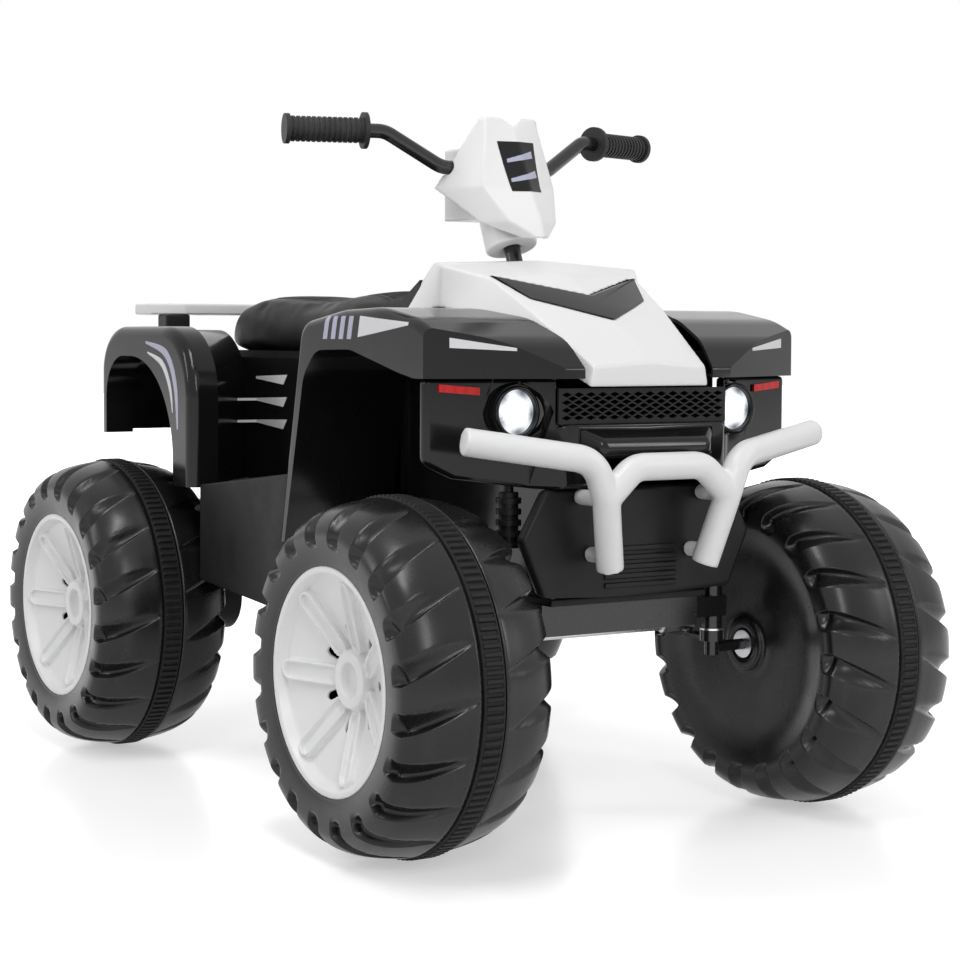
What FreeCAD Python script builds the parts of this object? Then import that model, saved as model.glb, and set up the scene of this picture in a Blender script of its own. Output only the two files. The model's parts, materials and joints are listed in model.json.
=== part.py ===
import FreeCAD, Part
import math
import os

from FreeCAD import Vector

# Kids ride-on quad bike, millimetres. Forward is -Y, the rider's left is +X, up is +Z.
# The origin lies on the ground, midway between the axles, on the middle plane.

# Driving dimensions of the whole machine
WHEELBASE = 694.0
TRACK = 516.6
TYRE_RADIUS = 179.0
TYRE_WIDTH = 167.0
FRONT_AXLE_Y = -WHEELBASE / 2
REAR_AXLE_Y = WHEELBASE / 2
WHEEL_X = TRACK / 2
TYRE_HALF = TYRE_WIDTH / 2

# Fits and walls that many pieces share
RUNNING_FIT = 0.05
SEAT_GAP = 0.3
SWING_GAP = 1.5
OVERRUN = 30.0
SHELL_WALL = 4.0

# Tyre: a hollow drum with lugs, closed on the side of the axle and open at the rim
LUG_COUNT = 20
TYRE_WALL = 5.0
SHOULDER_RADIUS = 147.0
CROWN_DROP = 2.5
GROOVE_SHARE = 0.42
LUG_SLANT = 24.0
GROOVE_DEPTH = 11.0
SHOULDER_MID_SHARES = (0.78, 0.62)
BEAD_RADIUS = 113.0
BEAD_INSET = 5.0
BACK_INSET = 12.0
HUB_RADIUS = 27.0
HUB_STAND = 6.0
HUB_LENGTH = 26.0
BACK_HOLE_COUNT = 5
BACK_HOLE_RADIUS = 2.5
BACK_HOLE_CIRCLE = 88.0

# Traction band in the middle of the tread
BAND_WIDTH = 24.0
BAND_DEPTH = 7.0
BAND_RIB_COUNT = 90
BAND_RIB_HEIGHT = 2.0
BAND_RIB_SHARE = 0.5

# Rim: a dished moulding with spokes, seated in the bead of the tyre
SPOKE_COUNT = 7
RIM_WALL = 4.0
RIM_LIP_WIDTH = 11.0
RIM_LIP_DEPTH = 12.0
RIM_DISH_DEPTH = 36.0
RIM_HUB_RADIUS = 32.0
RIM_HUB_STAND = 12.0
RIM_CAP_RADIUS = 17.0
RIM_CAP_DEPTH = 9.0
SPOKE_WIDTH = 21.0
SPOKE_HEIGHT = 8.0
SPOKE_BORDER = 3.0
SPOKE_SLOT_DEPTH = 5.0
WINDOW_WIDTH = 8.0
WINDOW_LENGTH = 16.0

# Axles and bearings
AXLE_RADIUS = 5.0
BEARING_RADIUS = 15.0
BEARING_WIDTH = 9.0
AXLE_END_INSET = 72.0

# Front axle: beam, kingpin sleeves, washers, bent kingpins and tie rod
KING_INSET = 120.3
KING_X = WHEEL_X - KING_INSET
BEAM_LOW_Z = 208.0
BEAM_HEIGHT = 33.0
BEAM_DEPTH = 32.0
BEAM_SETBACK = 6.0
SLEEVE_RADIUS = 11.0
SLEEVE_LOW_Z = 200.0
SLEEVE_TOP_Z = 262.0
KING_RADIUS = 5.5
WASHER_RADIUS = 13.0
WASHER_HEIGHT = 2.0
KING_NUT_HEIGHT = 7.0
KING_NUT_RADIUS = 9.0
KNUCKLE_HEIGHT = 12.0
KNUCKLE_RADIUS = 13.0
ELBOW_RADIUS = 8.0
ARM_REACH = 45.0
ARM_WIDTH = 18.0
ARM_HEIGHT = 5.0
ARM_SLOT_HALF = 5.7
ARM_SLOT_REACH = 4.4
PIN_RADIUS = 4.0
TIE_RADIUS = 4.5
TIE_END_RADIUS = 7.0
TIE_END_LENGTH = 34.0
STRUT_INSET = 10.0
STRUT_SETBACK = 2.0
STRUT_LOW_Z = 300.0
STRUT_TOP_Z = 356.0
STRUT_RADIUS = 13.0
STRUT_ROD_RADIUS = 5.0
STRUT_RIB_COUNT = 5
STRUT_RIB_DEPTH = 3.0

# Front body: both fenders, and the walls behind the front wheels
NOSE_REACH = 68.0
FRONT_NOSE_Y = FRONT_AXLE_Y - NOSE_REACH
HOOD_LENGTH = 352.0
FENDER_TAIL = 11.0
FRONT_FENDER_LENGTH = HOOD_LENGTH + FENDER_TAIL
FENDER_REAR_Y = FRONT_NOSE_Y + FRONT_FENDER_LENGTH
FRONT_INNER_X = 70.0
FRONT_FENDER_INSET = 22.3
FRONT_FENDER_OUT_X = WHEEL_X - FRONT_FENDER_INSET
FRONT_FENDER_HEIGHT = 256.0
FRONT_LOW_Z = 287.0
FRONT_OUTER_SHARES = (
    (0.0, 0.72), (0.0, 0.76), (0.07, 0.87), (0.21, 0.955), (0.4, 1.0), (0.62, 0.99), (0.86, 0.94), (1.0, 0.0),
)
FRONT_ARCH_SHARES = (
    (0.955, 0.0), (0.835, 0.72), (0.76, 0.825), (0.56, 0.83), (0.28, 0.74), (0.2, 0.72),
)
FRONT_ROUND_SHARES = (0.0, 0.02, 0.235, 0.43, 0.625, 0.625, 0.1, 0.0, 0.0, 0.156, 0.133, 0.235, 0.156, 0.0)
FRONT_SWEEP_SHARE = 0.155
FRONT_EDGE_ROUND = 10.0
FIREWALL_INSET = 52.0
FIREWALL_Y = FENDER_REAR_Y - FIREWALL_INSET
FIREWALL_WALL = 8.0

# Chassis: a narrow tray that carries everything
TRAY_INSET = 38.0
TRAY_HALF_WIDTH = KING_X - TRAY_INSET
TRAY_FLOOR = 8.0
TRAY_WALL = 5.0
TRAY_RIM_Z = 330.0
TRAY_RIM_SETBACK = 44.0
TRAY_RIM_START_Y = FIREWALL_Y + TRAY_RIM_SETBACK
FRONT_WALL_STEP = 4.0
FRONT_WALL_IN_X = TRAY_HALF_WIDTH + FRONT_WALL_STEP

# Hood: half widths and heights of its cross sections, from the nose to the rear
HOOD_OVERHANG = 1.0
HOOD_FRONT_Y = FRONT_NOSE_Y - HOOD_OVERHANG
HOOD_HALF_WIDTH = 133.0
HOOD_LOW_Z = 462.0
HOOD_HEIGHT = 136.0
HOOD_STATION_SHARES = (0.0, 0.26, 0.43, 0.56, 0.88, 1.0)
HOOD_FOOT_SHARES = ((0.56, 0.0), (0.74, 0.35), (0.91, 0.53), (0.98, 0.6), (0.8, 0.55), (0.5, 0.5))
HOOD_SHOULDER_SHARES = ((0.53, 0.16), (0.66, 0.58), (0.72, 0.83), (0.96, 0.93), (0.5, 0.985), (0.44, 0.83))
HOOD_CROWN_SHARES = (0.2, 0.64, 0.88, 0.985, 1.0, 0.85)
SCOOP_HALF_WIDTH = 93.0
SCOOP_LOW_Z = 531.0
SCOOP_HEIGHT = 46.0
SCOOP_HALF_SHARES = ((0.0, 0.0), (0.78, 0.46), (1.0, 1.0), (0.0, 0.56))
SCOOP_STAND = 1.5

# Dash behind the hood, with its switches
DASH_FRONT_Y = HOOD_FRONT_Y + HOOD_LENGTH + SEAT_GAP
DASH_HALF_WIDTH = 60.0
DASH_LENGTH = 42.0
DASH_TOP_Z = 577.0
DASH_REAR_Z = 553.0
BUTTON_RADIUS = 10.0
BUTTON_STAND = 4.0
BUTTON_TRAVEL = 3.0
SWITCH_X = 36.0
SWITCH_WIDTH = 15.0
SWITCH_LENGTH = 21.0
SWITCH_DEPTH = 9.0
SWITCH_PIN_RADIUS = 1.5

# Face: mask with grille, lamps and reflectors
MASK_INSET = 5.0
MASK_HALF_WIDTH = FRONT_FENDER_OUT_X - MASK_INSET
MASK_SETBACK = 3.0
MASK_FRONT_Y = FRONT_NOSE_Y + MASK_SETBACK
MASK_WALL = 14.0
MASK_LOW_Z = 361.0
MASK_TOP_Z = FRONT_LOW_Z + FRONT_OUTER_SHARES[0][1] * FRONT_FENDER_HEIGHT
MASK_SWEEP = 58.0
MASK_PLAN_SHARES = ((0.0, 0.0), (0.44, 0.05), (0.56, 0.6), (0.77, 0.81), (1.0, 1.0))
MASK_LOW_SHARES = ((0.0, 0.29), (0.235, 0.27), (0.31, 0.0), (0.52, 0.0), (0.87, 0.1), (1.0, 0.24))
MASK_TOP_SHARES = ((1.0, 1.0), (0.338, 1.0), (0.338, 0.917), (0.0, 0.917))
CHIN_HALF_WIDTH = 84.0
CHIN_DEPTH = 17.0
CHIN_HEIGHT = 32.0
GRILLE_HALF_WIDTH = 106.0
GRILLE_LOW_Z = 426.0
GRILLE_WALL = 3.0
GRILLE_COLUMNS = 14
GRILLE_ROWS = 4
GRILLE_BAR = 2.4
LAMP_X = 139.0
LAMP_Z = 438.0
LAMP_RADIUS = 23.0
LAMP_RIM = 5.0
LAMP_DEPTH = 10.5
LAMP_STAND = 5.0
LENS_BULGE = 6.0
REFLECTOR_INSET = 13.0
REFLECTOR_LENGTH = 42.0
REFLECTOR_LOW_Z = 455.0
REFLECTOR_HEIGHT = 11.0
REFLECTOR_WALL = 3.0
REFLECTOR_SLANT = 7.0

# Brush guard of bent tube, and skid plate below it
GUARD_RADIUS = 14.0
GUARD_BEND = 30.0
GUARD_REACH = 31.0
GUARD_Y = FRONT_NOSE_Y - GUARD_REACH
GUARD_SWEEP = 35.0
GUARD_LEAN = 16.0
GUARD_TIP_X = 222.0
GUARD_TIP_Z = 412.0
GUARD_ELBOW_X = 92.0
GUARD_ELBOW_Z = 392.0
GUARD_KNEE_X = 77.0
GUARD_KNEE_Z = 353.0
GUARD_FOOT_X = 60.0
GUARD_FOOT_Z = 281.0
GUARD_BAR_HALF = 43.0
GUARD_BAR_Z = 384.0
GUARD_STAY_RADIUS = 8.0
SKID_SETBACK = 15.0
SKID_FRONT_Y = FRONT_NOSE_Y + SKID_SETBACK
SKID_WALL = 15.0
SKID_TOP_Z = 361.0
SKID_HEIGHT = 112.0
SKID_HALF_WIDTH = 146.0
SKID_SHARES = ((0.27, 0.0), (0.82, 0.03), (1.0, 0.55), (0.8, 1.0))
SKID_RIB_COUNT = 5
SKID_RIB_WIDTH = 5.0
SKID_RIB_STAND = 3.0
SKID_RIB_HALF = GUARD_FOOT_X - GUARD_RADIUS - SEAT_GAP

# Steering: column, bar, grips and covers
RAKE = 22.0
COLUMN_SETBACK = 221.3
COLUMN_TOP_Y = FRONT_AXLE_Y + COLUMN_SETBACK
COLUMN_TOP_Z = 700.0
COLUMN_RADIUS = 9.0
CRANK_REACH = 45.0
CRANK_LIFT = 24.0
CRANK_HEIGHT = 6.0
CRANK_WIDTH = 18.0
TAB_LENGTH = 40.0
TAB_HEIGHT = 5.0
TAB_SLOT_HALF = 5.4
TAB_SLOT_REACH = 3.5
TAB_SLOT_BACK = 2.0
BAR_RADIUS = 8.0
BAR_BEND = 30.0
BAR_SHOULDER_X = 70.0
BAR_KNEE_X = 133.0
BAR_PULL = 17.7
BAR_GRIP_Z = 738.0
BAR_END_X = 236.0
BAR_SWEEP = 47.7
GRIP_RADIUS = 14.0
GRIP_LENGTH = 92.0
GRIP_FLANGE_RADIUS = 20.0
GRIP_FLANGE = 5.0
GRIP_RIB_COUNT = 14
GRIP_RIB_DEPTH = 1.2
SHROUD_RADIUS = 29.0
SHROUD_LENGTH = 42.0
SHROUD_LIFT = 13.0
COVER_LOW_Z = 620.0
COVER_HEIGHT = 136.0
COVER_HALF_WIDTH = 76.0
COVER_REACH = 102.3
COVER_FRONT_Y = COLUMN_TOP_Y - COVER_REACH
COVER_DEPTH = 118.0
COVER_WALL = 4.0
COVER_STATION_SHARES = (0.0, 0.13, 0.42, 0.58, 1.0)
COVER_CENTRE_SHARES = (0.02, 0.06, 0.27, 0.36, 0.57)
COVER_SHARES = ((0.2, 0.2), (0.6, 0.52), (0.98, 0.96), (0.85, 0.86), (0.5, 0.64))
COVER_FACE_SHARES = ((0.1, 0.05), (0.4, 0.2), (0.62, 0.45), (0.58, 0.5), (0.42, 0.6))
COVER_NOTCH_HALF = 33.0
COVER_NOTCH_DEPTH = 11.0
COVER_BACK_HALF = 48.0
COVER_BACK_LOW_Z = 642.0
COVER_BACK_TOP_Z = 722.0
COVER_BACK_REACH = 29.7

# Rear body: tub under the seat, with both fenders
TUB_STEP = 22.0
REAR_TUB_HALF = TRAY_HALF_WIDTH + TUB_STEP
TUB_REACH = 247.0
REAR_TUB_FRONT_Y = REAR_AXLE_Y - TUB_REACH
REAR_FENDER_INSET = 18.3
REAR_FENDER_OUT_X = WHEEL_X - REAR_FENDER_INSET
FENDER_REACH = 184.0
REAR_FENDER_FRONT_Y = REAR_AXLE_Y - FENDER_REACH
REAR_OVERHANG = 86.0
REAR_FENDER_REAR_Y = REAR_AXLE_Y + REAR_OVERHANG
FLAP_STEP = 9.0
TRAY_REAR_Y = REAR_FENDER_REAR_Y - FLAP_STEP
REAR_FENDER_LOW_Z = 332.0
REAR_FENDER_TOP_Z = 524.0
REAR_FLAP_Z = 388.0
REAR_FRONT_ROUND = 85.0
REAR_BACK_ROUND = 58.0
REAR_EDGE_ROUND = 14.0
REAR_LEG = 49.0
REAR_FLAP = 20.0
ARCH_TOP_Z = 487.0
ARCH_FRONT_ROUND = 125.0
ARCH_BACK_ROUND = 52.0
ARCH_INNER_ROUND = 60.0
BORDER_WIDTH = 37.0
BORDER_STEP = 4.0
REAR_SLANT = 84.0

# Rear rack on two posts behind the seat
RACK_GAP = 4.0
RACK_LENGTH = 116.0
RACK_HALF_WIDTH = 172.0
RACK_LOW_Z = 540.0
RACK_HEIGHT = 14.0
RACK_FRAME = 26.0
RACK_SLAT_COUNT = 2
RACK_SLAT_WIDTH = 20.0
RACK_CORNER = 34.0
POST_INSET = 94.0
POST_X = REAR_FENDER_OUT_X - POST_INSET
POST_WIDTH = 34.0
POST_LENGTH = 28.0
POST_FRONT_Y = TRAY_REAR_Y - POST_LENGTH
POST_SETBACK = 2.0
RACK_FRONT_Y = POST_FRONT_Y - POST_SETBACK

# Seat on its base, between the dash and the rack
DASH_GAP = 3.7
SEAT_FRONT_Y = DASH_FRONT_Y + DASH_LENGTH + DASH_GAP
SEAT_LENGTH = RACK_FRONT_Y - RACK_GAP - SEAT_FRONT_Y
SEAT_HALF_WIDTH = 94.0
SEAT_BASE_Z = 486.0
DASH_FOOT_Z = SEAT_BASE_Z
SEAT_BASE_HEIGHT = 8.0
SEAT_HEIGHT = 66.0
SEAT_CROWN = 9.0
SEAT_TUCK = 9.0
SEAT_CHANNEL_COUNT = 5
SEAT_CHANNEL_DEPTH = 2.5
SEAT_SHARES = (
    (0.0, 0.7, 0.8), (0.06, 0.82, 0.97), (0.35, 0.96, 0.95), (0.65, 1.0, 0.97),
    (0.85, 0.98, 1.0), (0.96, 0.9, 0.8), (1.0, 0.82, 0.5),
)

# Foot wells on both sides of the tray
FOOT_INSET = 30.3
FOOT_OUT_X = WHEEL_X - FOOT_INSET
FOOT_LENGTH = REAR_FENDER_FRONT_Y - FENDER_REAR_Y
FOOT_BASE_FRONT_Z = 206.0
FOOT_BASE_REAR_Z = 222.0
FOOT_FLOOR_Z = 249.0
FOOT_RIM_FRONT_Z = 362.0
FOOT_RIM_REAR_Z = 336.0
FOOT_WALL = 6.0
FOOT_LEDGE_HEIGHT = 6.0
FOOT_LEDGE_EDGE = 3.0
PEDAL_X = -(FOOT_OUT_X + TRAY_HALF_WIDTH) / 2
PEDAL_WIDTH = 56.0
PEDAL_SHARE = 0.43
PEDAL_HINGE_SHARE = 0.52
PEDAL_LENGTH = PEDAL_SHARE * FOOT_LENGTH
PEDAL_HINGE_Y = FENDER_REAR_Y + PEDAL_HINGE_SHARE * FOOT_LENGTH
PEDAL_THICK = 7.0
PEDAL_HINGE_RADIUS = 5.0
PEDAL_REST_ANGLE = 14.0

# Side panels under the seat
PANEL_LEAN = 16.0
PANEL_WALL = 5.0
PANEL_SETBACK = 8.0
PANEL_FRONT_Y = FENDER_REAR_Y + PANEL_SETBACK

# Drive and power
BATTERY_SHARE = 0.6
BATTERY_HALF_WIDTH = BATTERY_SHARE * TRAY_HALF_WIDTH
BATTERY_SETBACK = 18.0
BATTERY_FRONT_Y = REAR_TUB_FRONT_Y + BATTERY_SETBACK
BATTERY_LENGTH = 110.0
BATTERY_HEIGHT = 95.0
CONTROL_SHARE = 0.45
CONTROL_HALF_WIDTH = CONTROL_SHARE * TRAY_HALF_WIDTH
CONTROL_GAP = 8.0
CONTROL_FRONT_Y = BATTERY_FRONT_Y + BATTERY_LENGTH + CONTROL_GAP
CONTROL_LENGTH = 60.0
CONTROL_HEIGHT = 32.0
GEARBOX_GAP = 10.8
GEARBOX_WIDTH = WHEEL_X - TYRE_HALF - GEARBOX_GAP - TRAY_HALF_WIDTH
GEARBOX_RADIUS = 44.0
GEARBOX_TOP_Z = 300.0
MOTOR_RADIUS = 19.0
MOTOR_LENGTH = 52.0
MOTOR_SETBACK = 17.0
MOTOR_Y = REAR_AXLE_Y - MOTOR_SETBACK
MOTOR_Z = 276.0



def bar_x(radius, x_start, x_end, y, z):
    """A round bar along X."""
    low = min(x_start, x_end)
    return Part.makeCylinder(radius, abs(x_end - x_start), Vector(low, y, z), Vector(1, 0, 0))


def bar_between(radius, start, end):
    """A round bar from one point to another."""
    run = end - start
    return Part.makeCylinder(radius, run.Length, start, run)


def block(x_range, y_range, z_range):
    """An upright block between two values on each axis."""
    low = Vector(min(x_range), min(y_range), min(z_range))
    size = [max(r) - min(r) for r in (x_range, y_range, z_range)]
    return Part.makeBox(size[0], size[1], size[2], low)


def face_of(points):
    """A flat face with straight edges."""
    return Part.Face(Part.makePolygon(list(points) + [points[0]]))


def prism_x(points_yz, x_start, x_end):
    """A side outline drawn in (y, z), extruded along X."""
    face = face_of([Vector(x_start, y, z) for y, z in points_yz])
    return face.extrude(Vector(x_end - x_start, 0, 0))


def prism_y(points_xz, y_start, y_end):
    """A front outline drawn in (x, z), extruded along Y."""
    face = face_of([Vector(x, y_start, z) for x, z in points_xz])
    return face.extrude(Vector(0, y_end - y_start, 0))


def prism_z(points_xy, z_start, z_end):
    """A plan outline drawn in (x, y), extruded along Z."""
    face = face_of([Vector(x, y, z_start) for x, y in points_xy])
    return face.extrude(Vector(0, 0, z_end - z_start))


def both_sides(points):
    """The points of a right half, then their mirror images back to the start."""
    return list(points) + [(-x, other) for x, other in reversed(points) if x != 0]


def place_shares(shares, low, span):
    """Turns pairs of shares into places: low plus share times span, on each of two axes."""
    return [(low[0] + a * span[0], low[1] + b * span[1]) for a, b in shares]


def ruled_loft(sections):
    """A closed solid through flat sections of equal point counts."""
    wires = [Part.makePolygon(list(s) + [s[0]]) for s in sections]
    return Part.makeLoft(wires, True, True)


def mirrored(shape):
    """The same piece on the other side of the middle plane."""
    return shape.mirror(Vector(0, 0, 0), Vector(1, 0, 0))


def pair(shape):
    """A left piece and its right twin, as two solids."""
    return Part.makeCompound([shape, mirrored(shape)])


def turned(shape, angle):
    """The shape turned about the X axis through the origin."""
    copy = shape.copy()
    copy.rotate(Vector(0, 0, 0), Vector(1, 0, 0), angle)
    return copy


def corner_round(last, corner, following, radius):
    """The two ends and the middle of an arc that rounds a corner."""
    back = Vector(last - corner).normalize()
    ahead = Vector(following - corner).normalize()
    half = back.getAngle(ahead) / 2
    reach = radius / math.tan(half)
    middle = Vector(back + ahead).normalize()
    tip = corner + middle * (radius / math.sin(half) - radius)
    return corner + back * reach, tip, corner + ahead * reach


def rounded_face(points, radii):
    """A flat face with each of its corners rounded by its own radius."""
    edges = []
    last_end = None
    first_start = None
    for i, corner in enumerate(points):
        start = end = corner
        if radii[i] > 0:
            start, tip, end = corner_round(points[i - 1], corner, points[(i + 1) % len(points)], radii[i])
        if last_end is None:
            first_start = start
        else:
            edges.append(Part.makeLine(last_end, start))
        if radii[i] > 0:
            edges.append(Part.Arc(start, tip, end).toShape())
        last_end = end
    edges.append(Part.makeLine(last_end, first_start))
    return Part.Face(Part.Wire(edges))


def inset_outline(points, radii, wall):
    """Corners and radii of an outline moved in by a wall. It runs clockwise as (y, z)."""
    corners = []
    rounds = []
    for i, corner in enumerate(points):
        before = Vector(corner - points[i - 1]).normalize()
        after = Vector(points[(i + 1) % len(points)] - corner).normalize()
        first = Vector(0, before.z, -before.y)
        second = Vector(0, after.z, -after.y)
        corners.append(corner + (first + second) * (wall / (1 + first.dot(second))))
        outward = before.cross(after).x < 0
        change = -wall if outward else wall
        rounds.append(max(radii[i] + change, 0) if radii[i] > 0 else 0)
    return corners, rounds


def bent_tube(radius, points, bend):
    """A round tube through points, bent to one radius at each corner."""
    edges = []
    begin = points[0]
    for last, corner, following in zip(points, points[1:], points[2:]):
        start, tip, end = corner_round(last, corner, following, bend)
        edges.append(Part.makeLine(begin, start))
        edges.append(Part.Arc(start, tip, end).toShape())
        begin = end
    edges.append(Part.makeLine(begin, points[-1]))
    ring = Part.Wire(Part.makeCircle(radius, points[0], points[1] - points[0]))
    return Part.Wire(edges).makePipeShell([ring], True, True)


def write(name, shape):
    """Writes one piece, which has to be whole and closed."""
    if not shape.isValid() or shape.Volume <= 0:
        raise ValueError(name + " is not a sound solid")
    shape.exportStep("parts/" + name + ".step")


def stadium_on(plane_origin, along, normal, length, width, depth):
    """A slot-shaped block: a bar with round ends on a plane, extruded along its normal."""
    side = normal.cross(along)
    half = along * ((length - width) / 2)
    edge = side * (width / 2)
    tip = along * (length / 2)
    a = plane_origin - half - edge
    b = plane_origin + half - edge
    c = plane_origin + half + edge
    d = plane_origin - half + edge
    wire = Part.Wire([
        Part.makeLine(a, b),
        Part.Arc(b, plane_origin + tip, c).toShape(),
        Part.makeLine(c, d),
        Part.Arc(d, plane_origin - tip, a).toShape(),
    ])
    return Part.Face(wire).extrude(normal * depth)


def revolve_x(points):
    """A profile drawn as (along the axle, radius), turned about the X axis."""
    face = face_of([Vector(x, 0, r) for x, r in points])
    return face.revolve(Vector(0, 0, 0), Vector(1, 0, 0), 360)


# The wheel is built about the X axis, with its outer side toward +X

TREAD_RADIUS = TYRE_RADIUS - CROWN_DROP
BAND_SEAT_RADIUS = TYRE_RADIUS - BAND_DEPTH
BAND_EDGE = BAND_WIDTH / 2 + SEAT_GAP
BACK_X = -TYRE_HALF + BACK_INSET
RIM_FACE_X = TYRE_HALF - BEAD_INSET


def tyre_profile():
    """Half section of the hollow drum, as (along the axle, radius)."""
    mid_x = BAND_EDGE + SHOULDER_MID_SHARES[0] * (TYRE_HALF - BAND_EDGE)
    mid_r = SHOULDER_RADIUS + SHOULDER_MID_SHARES[1] * (TREAD_RADIUS - SHOULDER_RADIUS)
    bore = BEARING_RADIUS + RUNNING_FIT
    hub_end = BACK_X - HUB_STAND + HUB_LENGTH
    inner = TYRE_WALL + GROOVE_DEPTH
    outside = [
        (BACK_X - HUB_STAND, bore),
        (BACK_X - HUB_STAND, HUB_RADIUS),
        (BACK_X, HUB_RADIUS + HUB_STAND),
        (BACK_X, BEAD_RADIUS),
        (-TYRE_HALF, BEAD_RADIUS + BACK_INSET),
        (-TYRE_HALF, SHOULDER_RADIUS),
        (-mid_x, mid_r),
        (-BAND_EDGE, TREAD_RADIUS),
        (-BAND_EDGE, BAND_SEAT_RADIUS),
        (BAND_EDGE, BAND_SEAT_RADIUS),
        (BAND_EDGE, TREAD_RADIUS),
        (mid_x, mid_r),
        (TYRE_HALF, SHOULDER_RADIUS),
        (TYRE_HALF, BEAD_RADIUS + BEAD_INSET),
        (RIM_FACE_X, BEAD_RADIUS),
    ]
    inside = [
        (TYRE_HALF - inner, BEAD_RADIUS),
        (TYRE_HALF - inner, SHOULDER_RADIUS - inner),
        (BAND_EDGE, BAND_SEAT_RADIUS - inner),
        (-BAND_EDGE, BAND_SEAT_RADIUS - inner),
        (-TYRE_HALF + inner, SHOULDER_RADIUS - inner),
        (-TYRE_HALF + inner, BEAD_RADIUS),
        (BACK_X + TYRE_WALL, BEAD_RADIUS - TYRE_WALL),
        (BACK_X + TYRE_WALL, HUB_RADIUS + HUB_STAND),
        (hub_end, HUB_RADIUS),
        (hub_end, bore),
    ]
    return outside + inside


def tread_groove(side):
    """One slanted groove between two lugs, at the top of the wheel, on one side of the band."""
    start = Vector(side * BAND_EDGE, 0, TREAD_RADIUS)
    end = Vector(side * TYRE_HALF, 0, SHOULDER_RADIUS - GROOVE_DEPTH)
    along = Vector(end - start).normalize()
    normal = Vector(0, -side, 0).cross(along).normalize()
    if normal.z < 0:
        normal = normal * -1
    width = GROOVE_SHARE * 2 * math.pi * SHOULDER_RADIUS / LUG_COUNT
    length = (end - start).Length + width
    slot = stadium_on(start + along * (length / 2), along, normal, length, width, OVERRUN)
    slot.rotate(start, normal, side * LUG_SLANT)
    return slot


def make_tyre():
    """Drum with slanted lugs on both sides of the band, half a pitch apart, and screw holes at the back."""
    drum = revolve_x(tyre_profile())
    pitch = 360.0 / LUG_COUNT
    grooves = []
    for i in range(LUG_COUNT):
        grooves.append(turned(tread_groove(1), i * pitch))
        grooves.append(turned(tread_groove(-1), (i + 0.5) * pitch))
    for i in range(BACK_HOLE_COUNT):
        hole = bar_x(BACK_HOLE_RADIUS, BACK_X - OVERRUN, BACK_X + OVERRUN, 0, BACK_HOLE_CIRCLE)
        grooves.append(turned(hole, i * 360.0 / BACK_HOLE_COUNT))
    return drum.cut(Part.makeCompound(grooves))


def make_band():
    """Ring with cross ribs all round."""
    pitch = 2 * math.pi / BAND_RIB_COUNT
    root = TYRE_RADIUS - BAND_RIB_HEIGHT
    outline = []
    for i in range(BAND_RIB_COUNT):
        for radius, turn in ((TYRE_RADIUS, 0), (TYRE_RADIUS, BAND_RIB_SHARE),
                             (root, BAND_RIB_SHARE), (root, 1)):
            angle = (i + turn) * pitch
            outline.append(Vector(-BAND_WIDTH / 2, radius * math.sin(angle), radius * math.cos(angle)))
    solid = face_of(outline).extrude(Vector(BAND_WIDTH, 0, 0))
    seat = BAND_SEAT_RADIUS + SEAT_GAP
    return solid.cut(bar_x(seat, -BAND_WIDTH, BAND_WIDTH, 0, 0))


def make_rim():
    """Dished cover with slotted spokes, windows and a hub cap."""
    edge = BEAD_RADIUS - SEAT_GAP
    lip = edge - RIM_LIP_WIDTH
    dish_x = RIM_FACE_X - RIM_DISH_DEPTH
    fold_x = RIM_FACE_X - RIM_LIP_DEPTH
    profile = [
        (dish_x - RIM_WALL, 0),
        (dish_x - RIM_WALL, RIM_HUB_RADIUS),
        (fold_x - RIM_WALL, lip),
        (fold_x - RIM_WALL, edge),
        (RIM_FACE_X, edge),
        (RIM_FACE_X, lip + RIM_WALL),
        (fold_x, lip),
        (dish_x, RIM_HUB_RADIUS),
        (dish_x + RIM_HUB_STAND, RIM_HUB_RADIUS - RIM_WALL),
        (dish_x + RIM_HUB_STAND, RIM_CAP_RADIUS),
        (dish_x + RIM_HUB_STAND - RIM_CAP_DEPTH, RIM_CAP_RADIUS),
        (dish_x + RIM_HUB_STAND - RIM_CAP_DEPTH, 0),
    ]
    dish = revolve_x(profile)
    inner = Vector(dish_x, 0, RIM_HUB_RADIUS)
    outer = Vector(fold_x, 0, lip)
    along = Vector(outer - inner).normalize()
    normal = Vector(0, 1, 0).cross(along).normalize()
    if normal.x < 0:
        normal = normal * -1
    middle = (inner + outer) / 2
    length = (outer - inner).Length + RIM_WALL
    spokes = []
    slots = []
    for i in range(SPOKE_COUNT):
        angle = i * 360.0 / SPOKE_COUNT + 180.0 / SPOKE_COUNT / 2
        spoke = stadium_on(middle - normal * (RIM_WALL / 2), along, normal, length, SPOKE_WIDTH,
                           SPOKE_HEIGHT + RIM_WALL / 2)
        slot = stadium_on(middle + normal * (SPOKE_HEIGHT - SPOKE_SLOT_DEPTH), along, normal,
                          length - 2 * SPOKE_BORDER, SPOKE_WIDTH - 2 * SPOKE_BORDER, OVERRUN)
        spokes.append(turned(spoke, angle))
        slots.append(turned(slot, angle))
        window = stadium_on(inner + along * WINDOW_LENGTH - normal * OVERRUN, along, normal,
                            WINDOW_LENGTH, WINDOW_WIDTH, 2 * OVERRUN)
        slots.append(turned(window, angle + 180.0 / SPOKE_COUNT))
    rim = dish.multiFuse(spokes)
    return rim.cut(Part.makeCompound(slots)).removeSplitter()


def make_bearing():
    """Ball bearing in the hub, as one ring."""
    start = BACK_X - HUB_STAND
    ring = bar_x(BEARING_RADIUS, start, start + BEARING_WIDTH, 0, 0)
    return ring.cut(bar_x(AXLE_RADIUS + RUNNING_FIT, start - OVERRUN, start + OVERRUN, 0, 0))


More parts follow.
